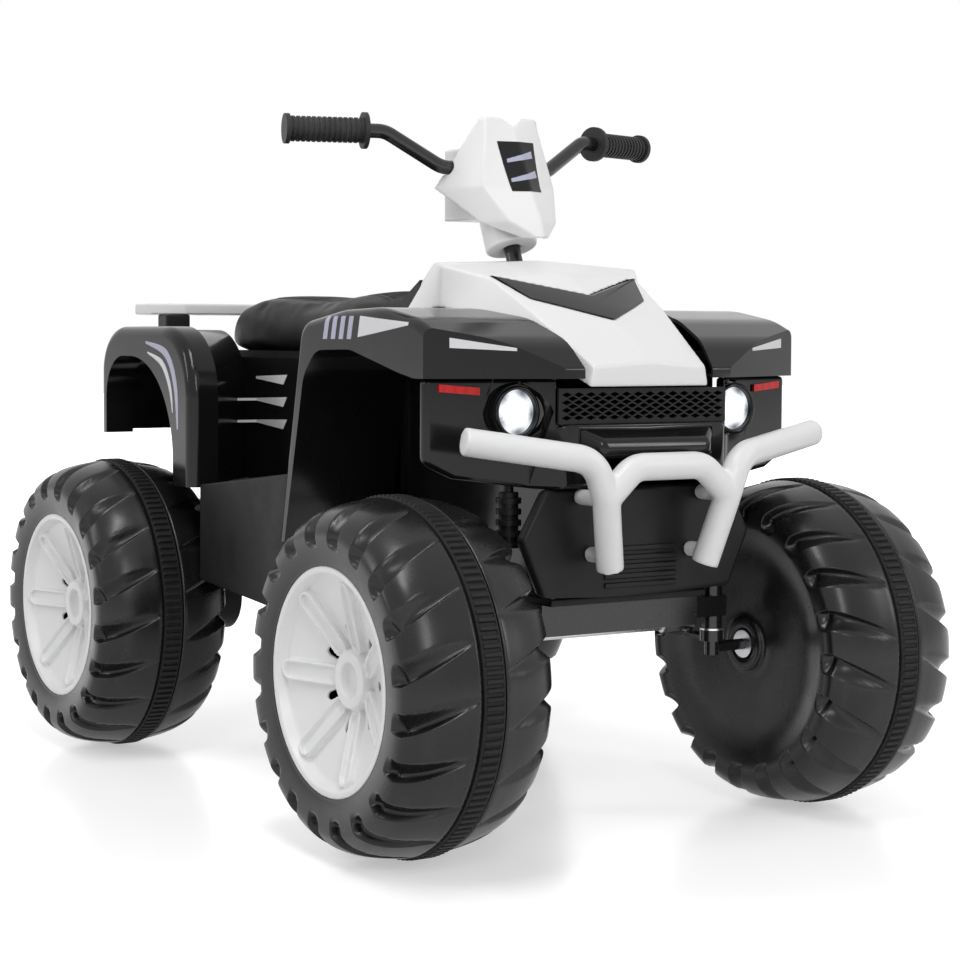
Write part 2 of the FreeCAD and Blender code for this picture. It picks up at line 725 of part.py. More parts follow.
def place_wheel(shape, side, axle_y):
    """Sets a wheel piece on its axle: side is 1 on the left and -1 on the right."""
    copy = shape if side > 0 else mirrored(shape)
    return copy.translated(Vector(side * WHEEL_X, axle_y, TYRE_RADIUS))


def make_wheels():
    """Four wheels of tyre, band, rim and bearing."""
    pieces = {"tyre": make_tyre(), "band": make_band(), "rim": make_rim(), "bearing": make_bearing()}
    corners = (("front_left", 1, FRONT_AXLE_Y), ("front_right", -1, FRONT_AXLE_Y),
               ("rear_left", 1, REAR_AXLE_Y), ("rear_right", -1, REAR_AXLE_Y))
    for corner, side, axle_y in corners:
        for piece, shape in pieces.items():
            write(piece + "_" + corner, place_wheel(shape, side, axle_y))


# Chassis and foot wells

BEAM_TOP_Z = BEAM_LOW_Z + BEAM_HEIGHT
TRAY_TOP_Z = BEAM_TOP_Z + TRAY_FLOOR
RAKE_SIN = math.sin(math.radians(RAKE))
RAKE_COS = math.cos(math.radians(RAKE))
COLUMN_AXIS = Vector(0, RAKE_SIN, RAKE_COS)
COLUMN_TOP = Vector(0, COLUMN_TOP_Y, COLUMN_TOP_Z)


def column_point(z):
    """The point of the steering axis at a height."""
    return COLUMN_TOP + COLUMN_AXIS * ((z - COLUMN_TOP_Z) / RAKE_COS)


def column_bar(radius, low_z, top_z):
    """A round bar on the steering axis between two heights."""
    return bar_between(radius, column_point(low_z), column_point(top_z))


def make_chassis():
    """Tray with a raised rim, a hole and boss for the steering column and holes for the motors."""
    half = TRAY_HALF_WIDTH
    front = SKID_FRONT_Y + SKID_WALL
    tray = block((-half, half), (front, TRAY_REAR_Y), (BEAM_TOP_Z, TRAY_TOP_Z))
    rim = block((-half, half), (TRAY_RIM_START_Y, TRAY_REAR_Y), (BEAM_TOP_Z, TRAY_RIM_Z))
    wall = TRAY_WALL
    hollow = block((wall - half, half - wall), (TRAY_RIM_START_Y + wall, TRAY_REAR_Y - wall),
                   (TRAY_TOP_Z, TRAY_RIM_Z + OVERRUN))
    boss = column_bar(COLUMN_RADIUS + TRAY_FLOOR, BEAM_TOP_Z - TRAY_FLOOR, TRAY_TOP_Z + TRAY_FLOOR)
    boss = boss.common(block((-half, half), (front, TRAY_RIM_START_Y), (BEAM_TOP_Z, TRAY_TOP_Z + TRAY_FLOOR)))
    bore = column_bar(COLUMN_RADIUS + RUNNING_FIT, BEAM_LOW_Z - OVERRUN, TRAY_TOP_Z + OVERRUN)
    tray = tray.fuse(rim.cut(hollow)).fuse(boss).cut(bore)
    motors = bar_x(MOTOR_RADIUS + SEAT_GAP, -half - OVERRUN, half + OVERRUN, MOTOR_Y, MOTOR_Z)
    return tray.cut(motors).removeSplitter()


def splash_y(z):
    """The rear face of the wall behind the front wheel, at a height."""
    top = FRONT_OUTER_SHARES[-2]
    low = FRONT_OUTER_SHARES[-1]
    share = (z - FRONT_LOW_Z) / FRONT_FENDER_HEIGHT
    along = top[0] + (low[0] - top[0]) * (share - top[1]) / (low[1] - top[1])
    return FRONT_NOSE_Y + along * FRONT_FENDER_LENGTH


def make_foot_well():
    """Left foot well: sloped base, ledge for the side panel, and outer wall that rises to the front."""
    front = splash_y(FRONT_LOW_Z) + SEAT_GAP
    outline = [
        (front, FOOT_BASE_FRONT_Z),
        (REAR_FENDER_FRONT_Y, FOOT_BASE_REAR_Z),
        (REAR_FENDER_FRONT_Y, FOOT_RIM_REAR_Z),
        (splash_y(FOOT_RIM_FRONT_Z) + SEAT_GAP, FOOT_RIM_FRONT_Z),
        (front, FRONT_LOW_Z),
    ]
    well = prism_x(outline, TRAY_HALF_WIDTH, FOOT_OUT_X)
    pocket = [
        (front + FOOT_WALL, FOOT_FLOOR_Z),
        (REAR_FENDER_FRONT_Y - FOOT_WALL, FOOT_FLOOR_Z),
        (REAR_FENDER_FRONT_Y - FOOT_WALL, FOOT_RIM_FRONT_Z + OVERRUN),
        (splash_y(FOOT_RIM_FRONT_Z) + FOOT_WALL, FOOT_RIM_FRONT_Z + OVERRUN),
        (splash_y(FOOT_RIM_FRONT_Z) + FOOT_WALL, FOOT_RIM_FRONT_Z),
        (front + FOOT_WALL, FRONT_LOW_Z),
    ]
    well = well.cut(prism_x(pocket, TRAY_HALF_WIDTH - OVERRUN, FOOT_OUT_X - FOOT_WALL))
    under = [
        (front + FOOT_WALL, FOOT_BASE_FRONT_Z - OVERRUN),
        (REAR_FENDER_FRONT_Y - FOOT_WALL, FOOT_BASE_FRONT_Z - OVERRUN),
        (REAR_FENDER_FRONT_Y - FOOT_WALL, FOOT_FLOOR_Z - FOOT_WALL),
        (front + FOOT_WALL, FOOT_FLOOR_Z - FOOT_WALL),
    ]
    well = well.cut(prism_x(under, TRAY_HALF_WIDTH - OVERRUN, FOOT_OUT_X - FOOT_WALL))
    ledge = block((TRAY_HALF_WIDTH, TRAY_HALF_WIDTH + PANEL_WALL + FOOT_LEDGE_EDGE),
                  (front, REAR_FENDER_FRONT_Y), (FOOT_FLOOR_Z - FOOT_WALL, FOOT_FLOOR_Z + FOOT_LEDGE_HEIGHT))
    tub = block((0, REAR_TUB_HALF + SEAT_GAP), (REAR_TUB_FRONT_Y - SEAT_GAP, REAR_FENDER_FRONT_Y + OVERRUN),
                (TRAY_RIM_Z - SEAT_GAP, FOOT_RIM_FRONT_Z + OVERRUN))
    return well.fuse(ledge).removeSplitter().cut(tub)


def hinge_ears():
    """Two ears on the right foot well's floor that hold the pedal."""
    reach = PEDAL_WIDTH / 2 + SEAT_GAP
    ears = []
    for start, end in ((-reach - FOOT_WALL, -reach), (reach, reach + FOOT_WALL)):
        ears.append(block((PEDAL_X + start, PEDAL_X + end),
                          (PEDAL_HINGE_Y - PEDAL_HINGE_RADIUS, PEDAL_HINGE_Y + PEDAL_HINGE_RADIUS),
                          (FOOT_FLOOR_Z, PEDAL_HINGE_Z + PEDAL_HINGE_RADIUS)))
    return ears


PEDAL_HINGE_Z = FOOT_FLOOR_Z + PEDAL_HINGE_RADIUS + SWING_GAP
PEDAL_PIN_RADIUS = PEDAL_HINGE_RADIUS / 2


def make_pedal():
    """Accelerator plate with a barrel and two pins, its toe end raised at rest."""
    half = PEDAL_WIDTH / 2
    plate = block((PEDAL_X - half, PEDAL_X + half), (PEDAL_HINGE_Y - PEDAL_LENGTH, PEDAL_HINGE_Y),
                  (PEDAL_HINGE_Z - PEDAL_THICK / 2, PEDAL_HINGE_Z + PEDAL_THICK / 2))
    barrel = bar_x(PEDAL_HINGE_RADIUS, PEDAL_X - half, PEDAL_X + half, PEDAL_HINGE_Y, PEDAL_HINGE_Z)
    pins = bar_x(PEDAL_PIN_RADIUS, PEDAL_X - half - FOOT_WALL, PEDAL_X + half + FOOT_WALL,
                 PEDAL_HINGE_Y, PEDAL_HINGE_Z)
    pedal = plate.fuse(barrel).fuse(pins)
    pedal.rotate(Vector(PEDAL_X, PEDAL_HINGE_Y, PEDAL_HINGE_Z), Vector(1, 0, 0), -PEDAL_REST_ANGLE)
    return pedal.removeSplitter()


def make_foot_wells():
    """Both wells. The right one also carries the pedal's hinge."""
    well = make_foot_well()
    write("foot_well_left", well)
    reach = PEDAL_WIDTH / 2 + 2 * FOOT_WALL
    bore = bar_x(PEDAL_PIN_RADIUS + RUNNING_FIT, PEDAL_X - reach, PEDAL_X + reach,
                 PEDAL_HINGE_Y, PEDAL_HINGE_Z)
    write("foot_well_right", mirrored(well).multiFuse(hinge_ears()).cut(bore))
    write("pedal", make_pedal())


# Front body, hood, dash

HOOD_TOP_Z = HOOD_LOW_Z + HOOD_HEIGHT


def hood_stations(grow):
    """Cross sections of the hood, each moved out by grow."""
    sections = []
    for i, share in enumerate(HOOD_STATION_SHARES):
        y = HOOD_FRONT_Y + share * HOOD_LENGTH
        if i == 0:
            y -= grow
        if i == len(HOOD_STATION_SHARES) - 1:
            y += grow
        foot_x = HOOD_FOOT_SHARES[i][0] * HOOD_HALF_WIDTH + grow
        foot_z = HOOD_LOW_Z + HOOD_FOOT_SHARES[i][1] * HOOD_HEIGHT
        side_x = HOOD_SHOULDER_SHARES[i][0] * HOOD_HALF_WIDTH + grow
        side_z = HOOD_LOW_Z + HOOD_SHOULDER_SHARES[i][1] * HOOD_HEIGHT + grow
        top_z = HOOD_LOW_Z + HOOD_CROWN_SHARES[i] * HOOD_HEIGHT + grow
        low_z = foot_z + grow if grow < 0 else foot_z
        sections.append([Vector(-foot_x, y, low_z), Vector(-side_x, y, side_z), Vector(0, y, top_z),
                         Vector(side_x, y, side_z), Vector(foot_x, y, low_z)])
    return sections


def hood_plan(grow):
    """The hood's outline from above, as a tall prism."""
    half = []
    for i, share in enumerate(HOOD_STATION_SHARES):
        y = HOOD_FRONT_Y + share * HOOD_LENGTH
        widest = max(HOOD_FOOT_SHARES[i][0], HOOD_SHOULDER_SHARES[i][0]) * HOOD_HALF_WIDTH
        half.append((widest + grow, y))
    half[0] = (half[0][0], half[0][1] - OVERRUN)
    half[-1] = (half[-1][0], half[-1][1] + grow)
    return prism_z(both_sides(half), FRONT_LOW_Z, HOOD_TOP_Z + OVERRUN)


def scoop_prism(grow):
    """The scoop's front outline, driven through the hood's nose."""
    half = [(x * (SCOOP_HALF_WIDTH + grow), SCOOP_LOW_Z - grow + z * (SCOOP_HEIGHT + 2 * grow))
            for x, z in SCOOP_HALF_SHARES]
    points = half[:3] + [half[3]] + [(-x, z) for x, z in reversed(half[1:3])]
    rear = HOOD_FRONT_Y + HOOD_STATION_SHARES[3] * HOOD_LENGTH
    return prism_y(points, HOOD_FRONT_Y, rear)


def make_hood():
    """Hood shell, open below, with a seat for the scoop and a hole for the column. Returns hood and scoop."""
    outer = ruled_loft(hood_stations(0))
    inner_sections = hood_stations(-SHELL_WALL)
    inner = ruled_loft(inner_sections)
    drop = Vector(0, 0, -OVERRUN)
    below = []
    for section in inner_sections:
        below.append([section[0] + drop, section[0], section[2] - Vector(0, 0, SHELL_WALL), section[4],
                      section[4] + drop])
    open_below = ruled_loft([[s[0], s[1], s[3], s[4]] for s in below])
    hood = outer.cut(inner).cut(open_below)
    hole = column_bar(COLUMN_RADIUS + SHELL_WALL, HOOD_LOW_Z, HOOD_TOP_Z + OVERRUN)
    scoop = ruled_loft(hood_stations(SCOOP_STAND)).cut(inner).common(scoop_prism(0))
    hood = hood.cut(scoop_prism(SEAT_GAP)).cut(hole)
    return hood, scoop


def on_outer_curve(edge):
    """Tells whether an edge of the front fender lies on its top or rear, away from nose and arch."""
    middle = edge.CenterOfMass
    arch_z = FRONT_LOW_Z + FRONT_ARCH_SHARES[3][1] * FRONT_FENDER_HEIGHT
    past_nose = middle.y > FRONT_NOSE_Y + FRONT_OUTER_SHARES[2][0] * FRONT_FENDER_LENGTH
    behind = middle.z > FRONT_LOW_Z and middle.y > splash_y(middle.z) - SHELL_WALL
    return edge.BoundBox.XLength < SEAT_GAP and past_nose and (middle.z > arch_z + SHELL_WALL or behind)


def mask_room():
    """The space in front of the mask's rear face, as high as the mask."""
    half = [(x * MASK_HALF_WIDTH, MASK_FRONT_Y + y * MASK_SWEEP + MASK_WALL + SEAT_GAP)
            for x, y in MASK_PLAN_SHARES]
    beyond = FRONT_FENDER_OUT_X + OVERRUN
    front = FRONT_NOSE_Y - OVERRUN
    points = half + [(beyond, half[-1][1]), (beyond, front), (0, front)]
    return prism_z(points, FRONT_LOW_Z, MASK_TOP_Z + SEAT_GAP)


def make_front_body():
    """Both fenders as hollow mouldings, joined by a firewall with a flange under the dash."""
    low = (FRONT_NOSE_Y, FRONT_LOW_Z)
    span = (FRONT_FENDER_LENGTH, FRONT_FENDER_HEIGHT)
    outline = place_shares(FRONT_OUTER_SHARES + FRONT_ARCH_SHARES, low, span)
    radii = [share * FRONT_FENDER_HEIGHT for share in FRONT_ROUND_SHARES]
    corners = [Vector(0, y, z) for y, z in outline]
    side = rounded_face(corners, radii)
    fender = side.extrude(Vector(FRONT_FENDER_OUT_X, 0, 0))
    rim = [e for e in fender.Edges if e.BoundBox.XMin > FRONT_INNER_X and on_outer_curve(e)]
    fender = fender.makeFillet(FRONT_EDGE_ROUND, rim)
    fender = fender.cut(block((0, FRONT_INNER_X), (FRONT_NOSE_Y - OVERRUN, 0), (0, HOOD_TOP_Z)))
    cavity = rounded_face(*inset_outline(corners, radii, SHELL_WALL))
    cavity = cavity.extrude(Vector(FRONT_FENDER_OUT_X - SHELL_WALL, 0, 0))
    sweep = FRONT_SWEEP_SHARE * FRONT_FENDER_LENGTH
    nose = [(FRONT_WALL_IN_X, FRONT_NOSE_Y - OVERRUN), (FRONT_WALL_IN_X, FRONT_NOSE_Y),
            (FRONT_FENDER_OUT_X, FRONT_NOSE_Y + sweep),
            (FRONT_FENDER_OUT_X + OVERRUN, FRONT_NOSE_Y + sweep),
            (FRONT_FENDER_OUT_X + OVERRUN, FRONT_NOSE_Y - OVERRUN)]
    swept = prism_z(nose, FRONT_LOW_Z, HOOD_TOP_Z)
    fender = fender.cut(swept)
    cavity = cavity.cut(swept.translated(Vector(0, SHELL_WALL, 0)))
    wall_cut = block((0, FRONT_WALL_IN_X), (FENDER_REAR_Y - FRONT_FENDER_LENGTH / 2, FENDER_REAR_Y + OVERRUN),
                     (FRONT_LOW_Z - OVERRUN, FRONT_LOW_Z + FRONT_ARCH_SHARES[1][1] * FRONT_FENDER_HEIGHT))
    fender = fender.cut(cavity).cut(wall_cut).cut(hood_plan(SEAT_GAP)).cut(mask_room())
    firewall = block((-FRONT_WALL_IN_X, FRONT_WALL_IN_X), (FIREWALL_Y, FIREWALL_Y + FIREWALL_WALL),
                     (TRAY_TOP_Z, DASH_FOOT_Z))
    flange = block((-FRONT_WALL_IN_X, FRONT_WALL_IN_X), (FIREWALL_Y, SEAT_FRONT_Y - SEAT_GAP),
                   (DASH_FOOT_Z - SHELL_WALL, DASH_FOOT_Z))
    inner_wall = block((TRAY_HALF_WIDTH - SHELL_WALL, TRAY_HALF_WIDTH),
                       (SKID_FRONT_Y + SKID_WALL, FIREWALL_Y),
                       (TRAY_TOP_Z, FRONT_LOW_Z + FRONT_ARCH_SHARES[3][1] * FRONT_FENDER_HEIGHT))
    parts = [flange, fender, mirrored(fender), inner_wall, mirrored(inner_wall)]
    return firewall.multiFuse(parts).removeSplitter()


DASH_MID = Vector(0, DASH_FRONT_Y + DASH_LENGTH / 2, (DASH_TOP_Z + DASH_REAR_Z) / 2)
DASH_ALONG = Vector(0, DASH_LENGTH, DASH_REAR_Z - DASH_TOP_Z).normalize()
DASH_NORMAL = Vector(1, 0, 0).cross(DASH_ALONG)


def dash_block(x, width, length, low, high):
    """A block set square to the sloped top of the dash, from low to high along its normal."""
    center = DASH_MID + Vector(x, 0, 0)
    corner = [center + Vector(sx * width / 2, 0, 0) + DASH_ALONG * (sy * length / 2) + DASH_NORMAL * low
              for sx, sy in ((-1, -1), (1, -1), (1, 1), (-1, 1))]
    return face_of(corner).extrude(DASH_NORMAL * (high - low))


def dash_pin(x):
    """The hinge pin of a rocker switch, along X."""
    reach = SWITCH_WIDTH / 2 + SWITCH_PIN_RADIUS + SEAT_GAP
    center = DASH_MID - DASH_NORMAL * (2 * SWITCH_PIN_RADIUS)
    return reach, center + Vector(x, 0, 0)


def make_dash():
    """Dash block with a button hole and two switch pockets, then its button and switches."""
    outline = [(DASH_FRONT_Y, DASH_TOP_Z), (DASH_FRONT_Y + DASH_LENGTH, DASH_REAR_Z),
               (DASH_FRONT_Y + DASH_LENGTH, DASH_FOOT_Z), (DASH_FRONT_Y, DASH_FOOT_Z)]
    dash = prism_x(outline, -DASH_HALF_WIDTH, DASH_HALF_WIDTH)
    base = DASH_MID - DASH_NORMAL * (BUTTON_STAND + 3 * BUTTON_TRAVEL)
    height = 2 * BUTTON_STAND + 3 * BUTTON_TRAVEL
    dash = dash.cut(Part.makeCylinder(BUTTON_RADIUS + RUNNING_FIT, height + OVERRUN, base, DASH_NORMAL))
    lift = DASH_NORMAL * BUTTON_TRAVEL
    button = Part.makeCylinder(BUTTON_RADIUS, height - BUTTON_TRAVEL, base + lift, DASH_NORMAL)
    write("power_button", button)
    for name, x in (("direction_switch", SWITCH_X), ("speed_switch", -SWITCH_X)):
        dash = dash.cut(dash_block(x, SWITCH_WIDTH + 2 * SEAT_GAP, SWITCH_LENGTH + 2 * BUTTON_STAND,
                                   -2 * SWITCH_DEPTH, OVERRUN))
        reach, center = dash_pin(x)
        side = Vector(reach, 0, 0)
        dash = dash.cut(bar_between(SWITCH_PIN_RADIUS + RUNNING_FIT, center - side, center + side))
        rocker = dash_block(x, SWITCH_WIDTH, SWITCH_LENGTH, -SWITCH_DEPTH, SWITCH_DEPTH / 2)
        rocker = rocker.fuse(bar_between(SWITCH_PIN_RADIUS, center - side, center + side))
        write(name, rocker.removeSplitter())
    write("dash_console", dash)


def make_front():
    """Hood, scoop, front body and dash."""
    hood, scoop = make_hood()
    write("hood_cover", hood)
    write("scoop_insert", scoop)
    write("front_body", make_front_body())
    make_dash()


# Face of the machine: mask, grille, lamps, reflectors, guard and skid plate


def mask_y(x):
    """Front face of the mask at a distance from the middle, along its swept plan."""
    share = abs(x) / MASK_HALF_WIDTH
    for (a, b), (c, d) in zip(MASK_PLAN_SHARES, MASK_PLAN_SHARES[1:]):
        if a <= share <= c:
            return MASK_FRONT_Y + MASK_SWEEP * (b + (d - b) * (share - a) / (c - a))
    return MASK_FRONT_Y + MASK_SWEEP


def make_mask():
    """Swept mask with a chin, an opening for the grille and seats for the lamps."""
    half = [(x * MASK_HALF_WIDTH, MASK_FRONT_Y + y * MASK_SWEEP) for x, y in MASK_PLAN_SHARES]
    plan = [(-x, y) for x, y in reversed(half[1:])] + half
    rear = [(x, y + MASK_WALL) for x, y in reversed(plan)]
    swept = prism_z(plan + rear, MASK_LOW_Z, MASK_TOP_Z)
    height = MASK_TOP_Z - MASK_LOW_Z
    right = [(x * MASK_HALF_WIDTH, MASK_LOW_Z + z * height) for x, z in MASK_LOW_SHARES + MASK_TOP_SHARES]
    front = prism_y(both_sides(right), MASK_FRONT_Y - OVERRUN, MASK_FRONT_Y + MASK_SWEEP + OVERRUN)
    mask = swept.common(front)
    chin_low = MASK_LOW_Z + MASK_LOW_SHARES[0][1] * height
    chin = prism_x([(MASK_FRONT_Y + MASK_WALL / 2, chin_low), (MASK_FRONT_Y - CHIN_DEPTH, chin_low),
                    (MASK_FRONT_Y - CHIN_DEPTH, chin_low + CHIN_HEIGHT / 2),
                    (MASK_FRONT_Y + MASK_WALL / 2, chin_low + CHIN_HEIGHT)],
                   -CHIN_HALF_WIDTH, CHIN_HALF_WIDTH)
    ends = [(0, MASK_FRONT_Y), (CHIN_HALF_WIDTH, MASK_FRONT_Y),
            (CHIN_HALF_WIDTH - CHIN_DEPTH, MASK_FRONT_Y - CHIN_DEPTH), (0, MASK_FRONT_Y - CHIN_DEPTH)]
    keep = prism_z(ends[1:3] + [(-x, y) for x, y in reversed(ends[1:3])], MASK_LOW_Z, MASK_TOP_Z)
    keep = keep.fuse(block((-CHIN_HALF_WIDTH, CHIN_HALF_WIDTH), (MASK_FRONT_Y, MASK_FRONT_Y + MASK_WALL),
                           (MASK_LOW_Z, MASK_TOP_Z)))
    mask = mask.fuse(chin.common(keep))
    window = block((-GRILLE_HALF_WIDTH - SEAT_GAP, GRILLE_HALF_WIDTH + SEAT_GAP),
                   (MASK_FRONT_Y - OVERRUN, MASK_FRONT_Y + MASK_WALL + OVERRUN),
                   (GRILLE_LOW_Z - SEAT_GAP, HOOD_LOW_Z + OVERRUN))
    mask = mask.cut(window)
    for side in (1, -1):
        seat = Part.makeCylinder(LAMP_RADIUS + LAMP_RIM, MASK_SWEEP + 2 * OVERRUN,
                                 Vector(side * LAMP_X, MASK_FRONT_Y - OVERRUN, LAMP_Z), Vector(0, 1, 0))
        mask = mask.cut(seat)
    return mask.removeSplitter()


def make_grille():
    """Diamond mesh: one holed face, extruded."""
    top = HOOD_LOW_Z - SEAT_GAP
    width = 2 * GRILLE_HALF_WIDTH
    height = top - GRILLE_LOW_Z
    y = MASK_FRONT_Y + MASK_WALL / 2
    outline = Part.makePolygon([Vector(-width / 2, y, GRILLE_LOW_Z), Vector(width / 2, y, GRILLE_LOW_Z),
                                Vector(width / 2, y, top), Vector(-width / 2, y, top),
                                Vector(-width / 2, y, GRILLE_LOW_Z)])
    step_x = (width - 2 * GRILLE_BAR) / GRILLE_COLUMNS
    step_z = (height - 2 * GRILLE_BAR) / GRILLE_ROWS
    half_x = step_x / 2 - GRILLE_BAR / 2
    half_z = step_z / 2 - GRILLE_BAR / 2
    holes = []
    for row in range(2 * GRILLE_ROWS - 1):
        shift = row % 2
        z = GRILLE_LOW_Z + GRILLE_BAR + (row + 1) * step_z / 2
        for column in range(GRILLE_COLUMNS - shift):
            x = -width / 2 + GRILLE_BAR + (column + 0.5 + shift / 2) * step_x
            corners = [Vector(x - half_x, y, z), Vector(x, y, z + half_z), Vector(x + half_x, y, z),
                       Vector(x, y, z - half_z)]
            holes.append(face_of(corners).extrude(Vector(0, GRILLE_WALL, 0)))
    plate = Part.Face(outline).extrude(Vector(0, GRILLE_WALL, 0))
    return plate.cut(Part.makeCompound(holes))


def make_lamps():
    """Left housing and lens: a cup with a rim, closed by a domed lens."""
    front = mask_y(LAMP_X) - LAMP_STAND
    axis = Vector(0, 1, 0)
    start = Vector(LAMP_X, front, LAMP_Z)
    radius = LAMP_RADIUS + LAMP_RIM - SEAT_GAP
    cup = Part.makeCylinder(radius, LAMP_DEPTH, start, axis)
    bowl = Part.makeCylinder(LAMP_RADIUS, LAMP_DEPTH - LAMP_RIM, start, axis)
    housing = cup.cut(bowl)
    ball_radius = (LAMP_RADIUS ** 2 + LENS_BULGE ** 2) / (2 * LENS_BULGE)
    ball = Part.makeSphere(ball_radius, start + axis * (ball_radius - LENS_BULGE + LAMP_RIM))
    lens = ball.common(Part.makeCylinder(LAMP_RADIUS - RUNNING_FIT, LAMP_DEPTH,
                                         start - axis * (LAMP_DEPTH - LAMP_DEPTH / 2), axis))
    return housing, lens


def make_reflectors():
    """Red side markers that lie on the swept face of the mask, one on each side."""
    outer = MASK_HALF_WIDTH - REFLECTOR_INSET
    inner = outer - REFLECTOR_LENGTH
    low = REFLECTOR_LOW_Z
    face = [(inner, low), (outer, low + REFLECTOR_SLANT / 2), (outer, low + REFLECTOR_HEIGHT),
            (inner, low + REFLECTOR_HEIGHT - REFLECTOR_SLANT / 2)]
    band = [(inner, mask_y(inner)), (outer, mask_y(outer)), (outer, mask_y(outer) - REFLECTOR_WALL),
            (inner, mask_y(inner) - REFLECTOR_WALL)]
    marker = prism_z(band, low - OVERRUN, low + OVERRUN)
    marker = marker.common(prism_y(face, MASK_FRONT_Y - OVERRUN, MASK_FRONT_Y + MASK_SWEEP))
    return pair(marker)


def make_guard():
    """Two bent side tubes, a cross bar and four stays that reach the skid plate."""
    elbow = Vector(GUARD_ELBOW_X, GUARD_Y, GUARD_ELBOW_Z)
    knee = Vector(GUARD_KNEE_X, GUARD_Y, GUARD_KNEE_Z)
    tip = Vector(GUARD_TIP_X, GUARD_Y + GUARD_SWEEP, GUARD_TIP_Z)
    foot = Vector(GUARD_FOOT_X, GUARD_Y + GUARD_LEAN, GUARD_FOOT_Z)
    corner = Vector(GUARD_BAR_HALF, GUARD_Y, GUARD_BAR_Z)
    side = bent_tube(GUARD_RADIUS, [tip, elbow, knee, foot], GUARD_BEND)
    for point in (knee, foot + (knee - foot).normalize() * GUARD_RADIUS):
        end = Vector(point.x, SKID_FRONT_Y, point.z)
        side = side.fuse(bar_between(GUARD_STAY_RADIUS, point, end))
    half = [knee, corner]
    cross = bent_tube(GUARD_RADIUS, half + [Vector(-p.x, p.y, p.z) for p in reversed(half)], GUARD_BEND)
    return cross.multiFuse([side, mirrored(side)]).removeSplitter()


def make_skid():
    """Skid plate with raised ribs below the mask."""
    right = [(x * SKID_HALF_WIDTH, SKID_TOP_Z - SKID_HEIGHT + z * SKID_HEIGHT) for x, z in SKID_SHARES]
    plate = prism_y([(-x, z) for x, z in reversed(right)] + right, SKID_FRONT_Y, SKID_FRONT_Y + SKID_WALL)
    ribs = []
    for i in range(SKID_RIB_COUNT):
        z = SKID_TOP_Z - SKID_HEIGHT / 2 - (i + 1) * SKID_HEIGHT / 2 / (SKID_RIB_COUNT + 1)
        ribs.append(block((-SKID_RIB_HALF, SKID_RIB_HALF), (SKID_FRONT_Y - SKID_RIB_STAND, SKID_FRONT_Y),
                          (z, z + SKID_RIB_WIDTH)))
    return plate.multiFuse(ribs).removeSplitter()


# Front axle and steering linkage

KNUCKLE_TOP_Z = SLEEVE_LOW_Z - WASHER_HEIGHT
KNUCKLE_LOW_Z = KNUCKLE_TOP_Z - KNUCKLE_HEIGHT
TIE_Y = FRONT_AXLE_Y + ARM_REACH
TIE_Z = KNUCKLE_LOW_Z + ARM_HEIGHT + TIE_END_RADIUS + SEAT_GAP
BEAM_Y = FRONT_AXLE_Y - BEAM_SETBACK


def make_axle_beam():
    """Beam under the tray, with an end block and a bored sleeve for each kingpin."""
    beam = block((-TRAY_HALF_WIDTH, TRAY_HALF_WIDTH), (BEAM_Y - BEAM_DEPTH / 2, BEAM_Y + BEAM_DEPTH / 2),
                 (BEAM_LOW_Z, BEAM_TOP_Z))
    shapes = []
    bores = []
    for side in (1, -1):
        shapes.append(block((side * TRAY_HALF_WIDTH, side * (KING_X + SLEEVE_RADIUS)),
                            (FRONT_AXLE_Y - SLEEVE_RADIUS, FRONT_AXLE_Y + SLEEVE_RADIUS),
                            (BEAM_LOW_Z + SLEEVE_RADIUS / 2, BEAM_TOP_Z - SLEEVE_RADIUS / 2)))
        base = Vector(side * KING_X, FRONT_AXLE_Y, SLEEVE_LOW_Z)
        shapes.append(Part.makeCylinder(SLEEVE_RADIUS, SLEEVE_TOP_Z - SLEEVE_LOW_Z, base))
        bores.append(Part.makeCylinder(KING_RADIUS + RUNNING_FIT, 4 * OVERRUN, base - Vector(0, 0, OVERRUN)))
    return beam.multiFuse(shapes).cut(Part.makeCompound(bores)).removeSplitter()


def make_washers():
    """Four bright washers at the ends of the kingpin sleeves."""
    washers = []
    for side in (1, -1):
        for z in (SLEEVE_LOW_Z - WASHER_HEIGHT, SLEEVE_TOP_Z):
            base = Vector(side * KING_X, FRONT_AXLE_Y, z)
            ring = Part.makeCylinder(WASHER_RADIUS, WASHER_HEIGHT, base)
            washers.append(ring.cut(Part.makeCylinder(KING_RADIUS + RUNNING_FIT, WASHER_HEIGHT, base)))
    return Part.makeCompound(washers)


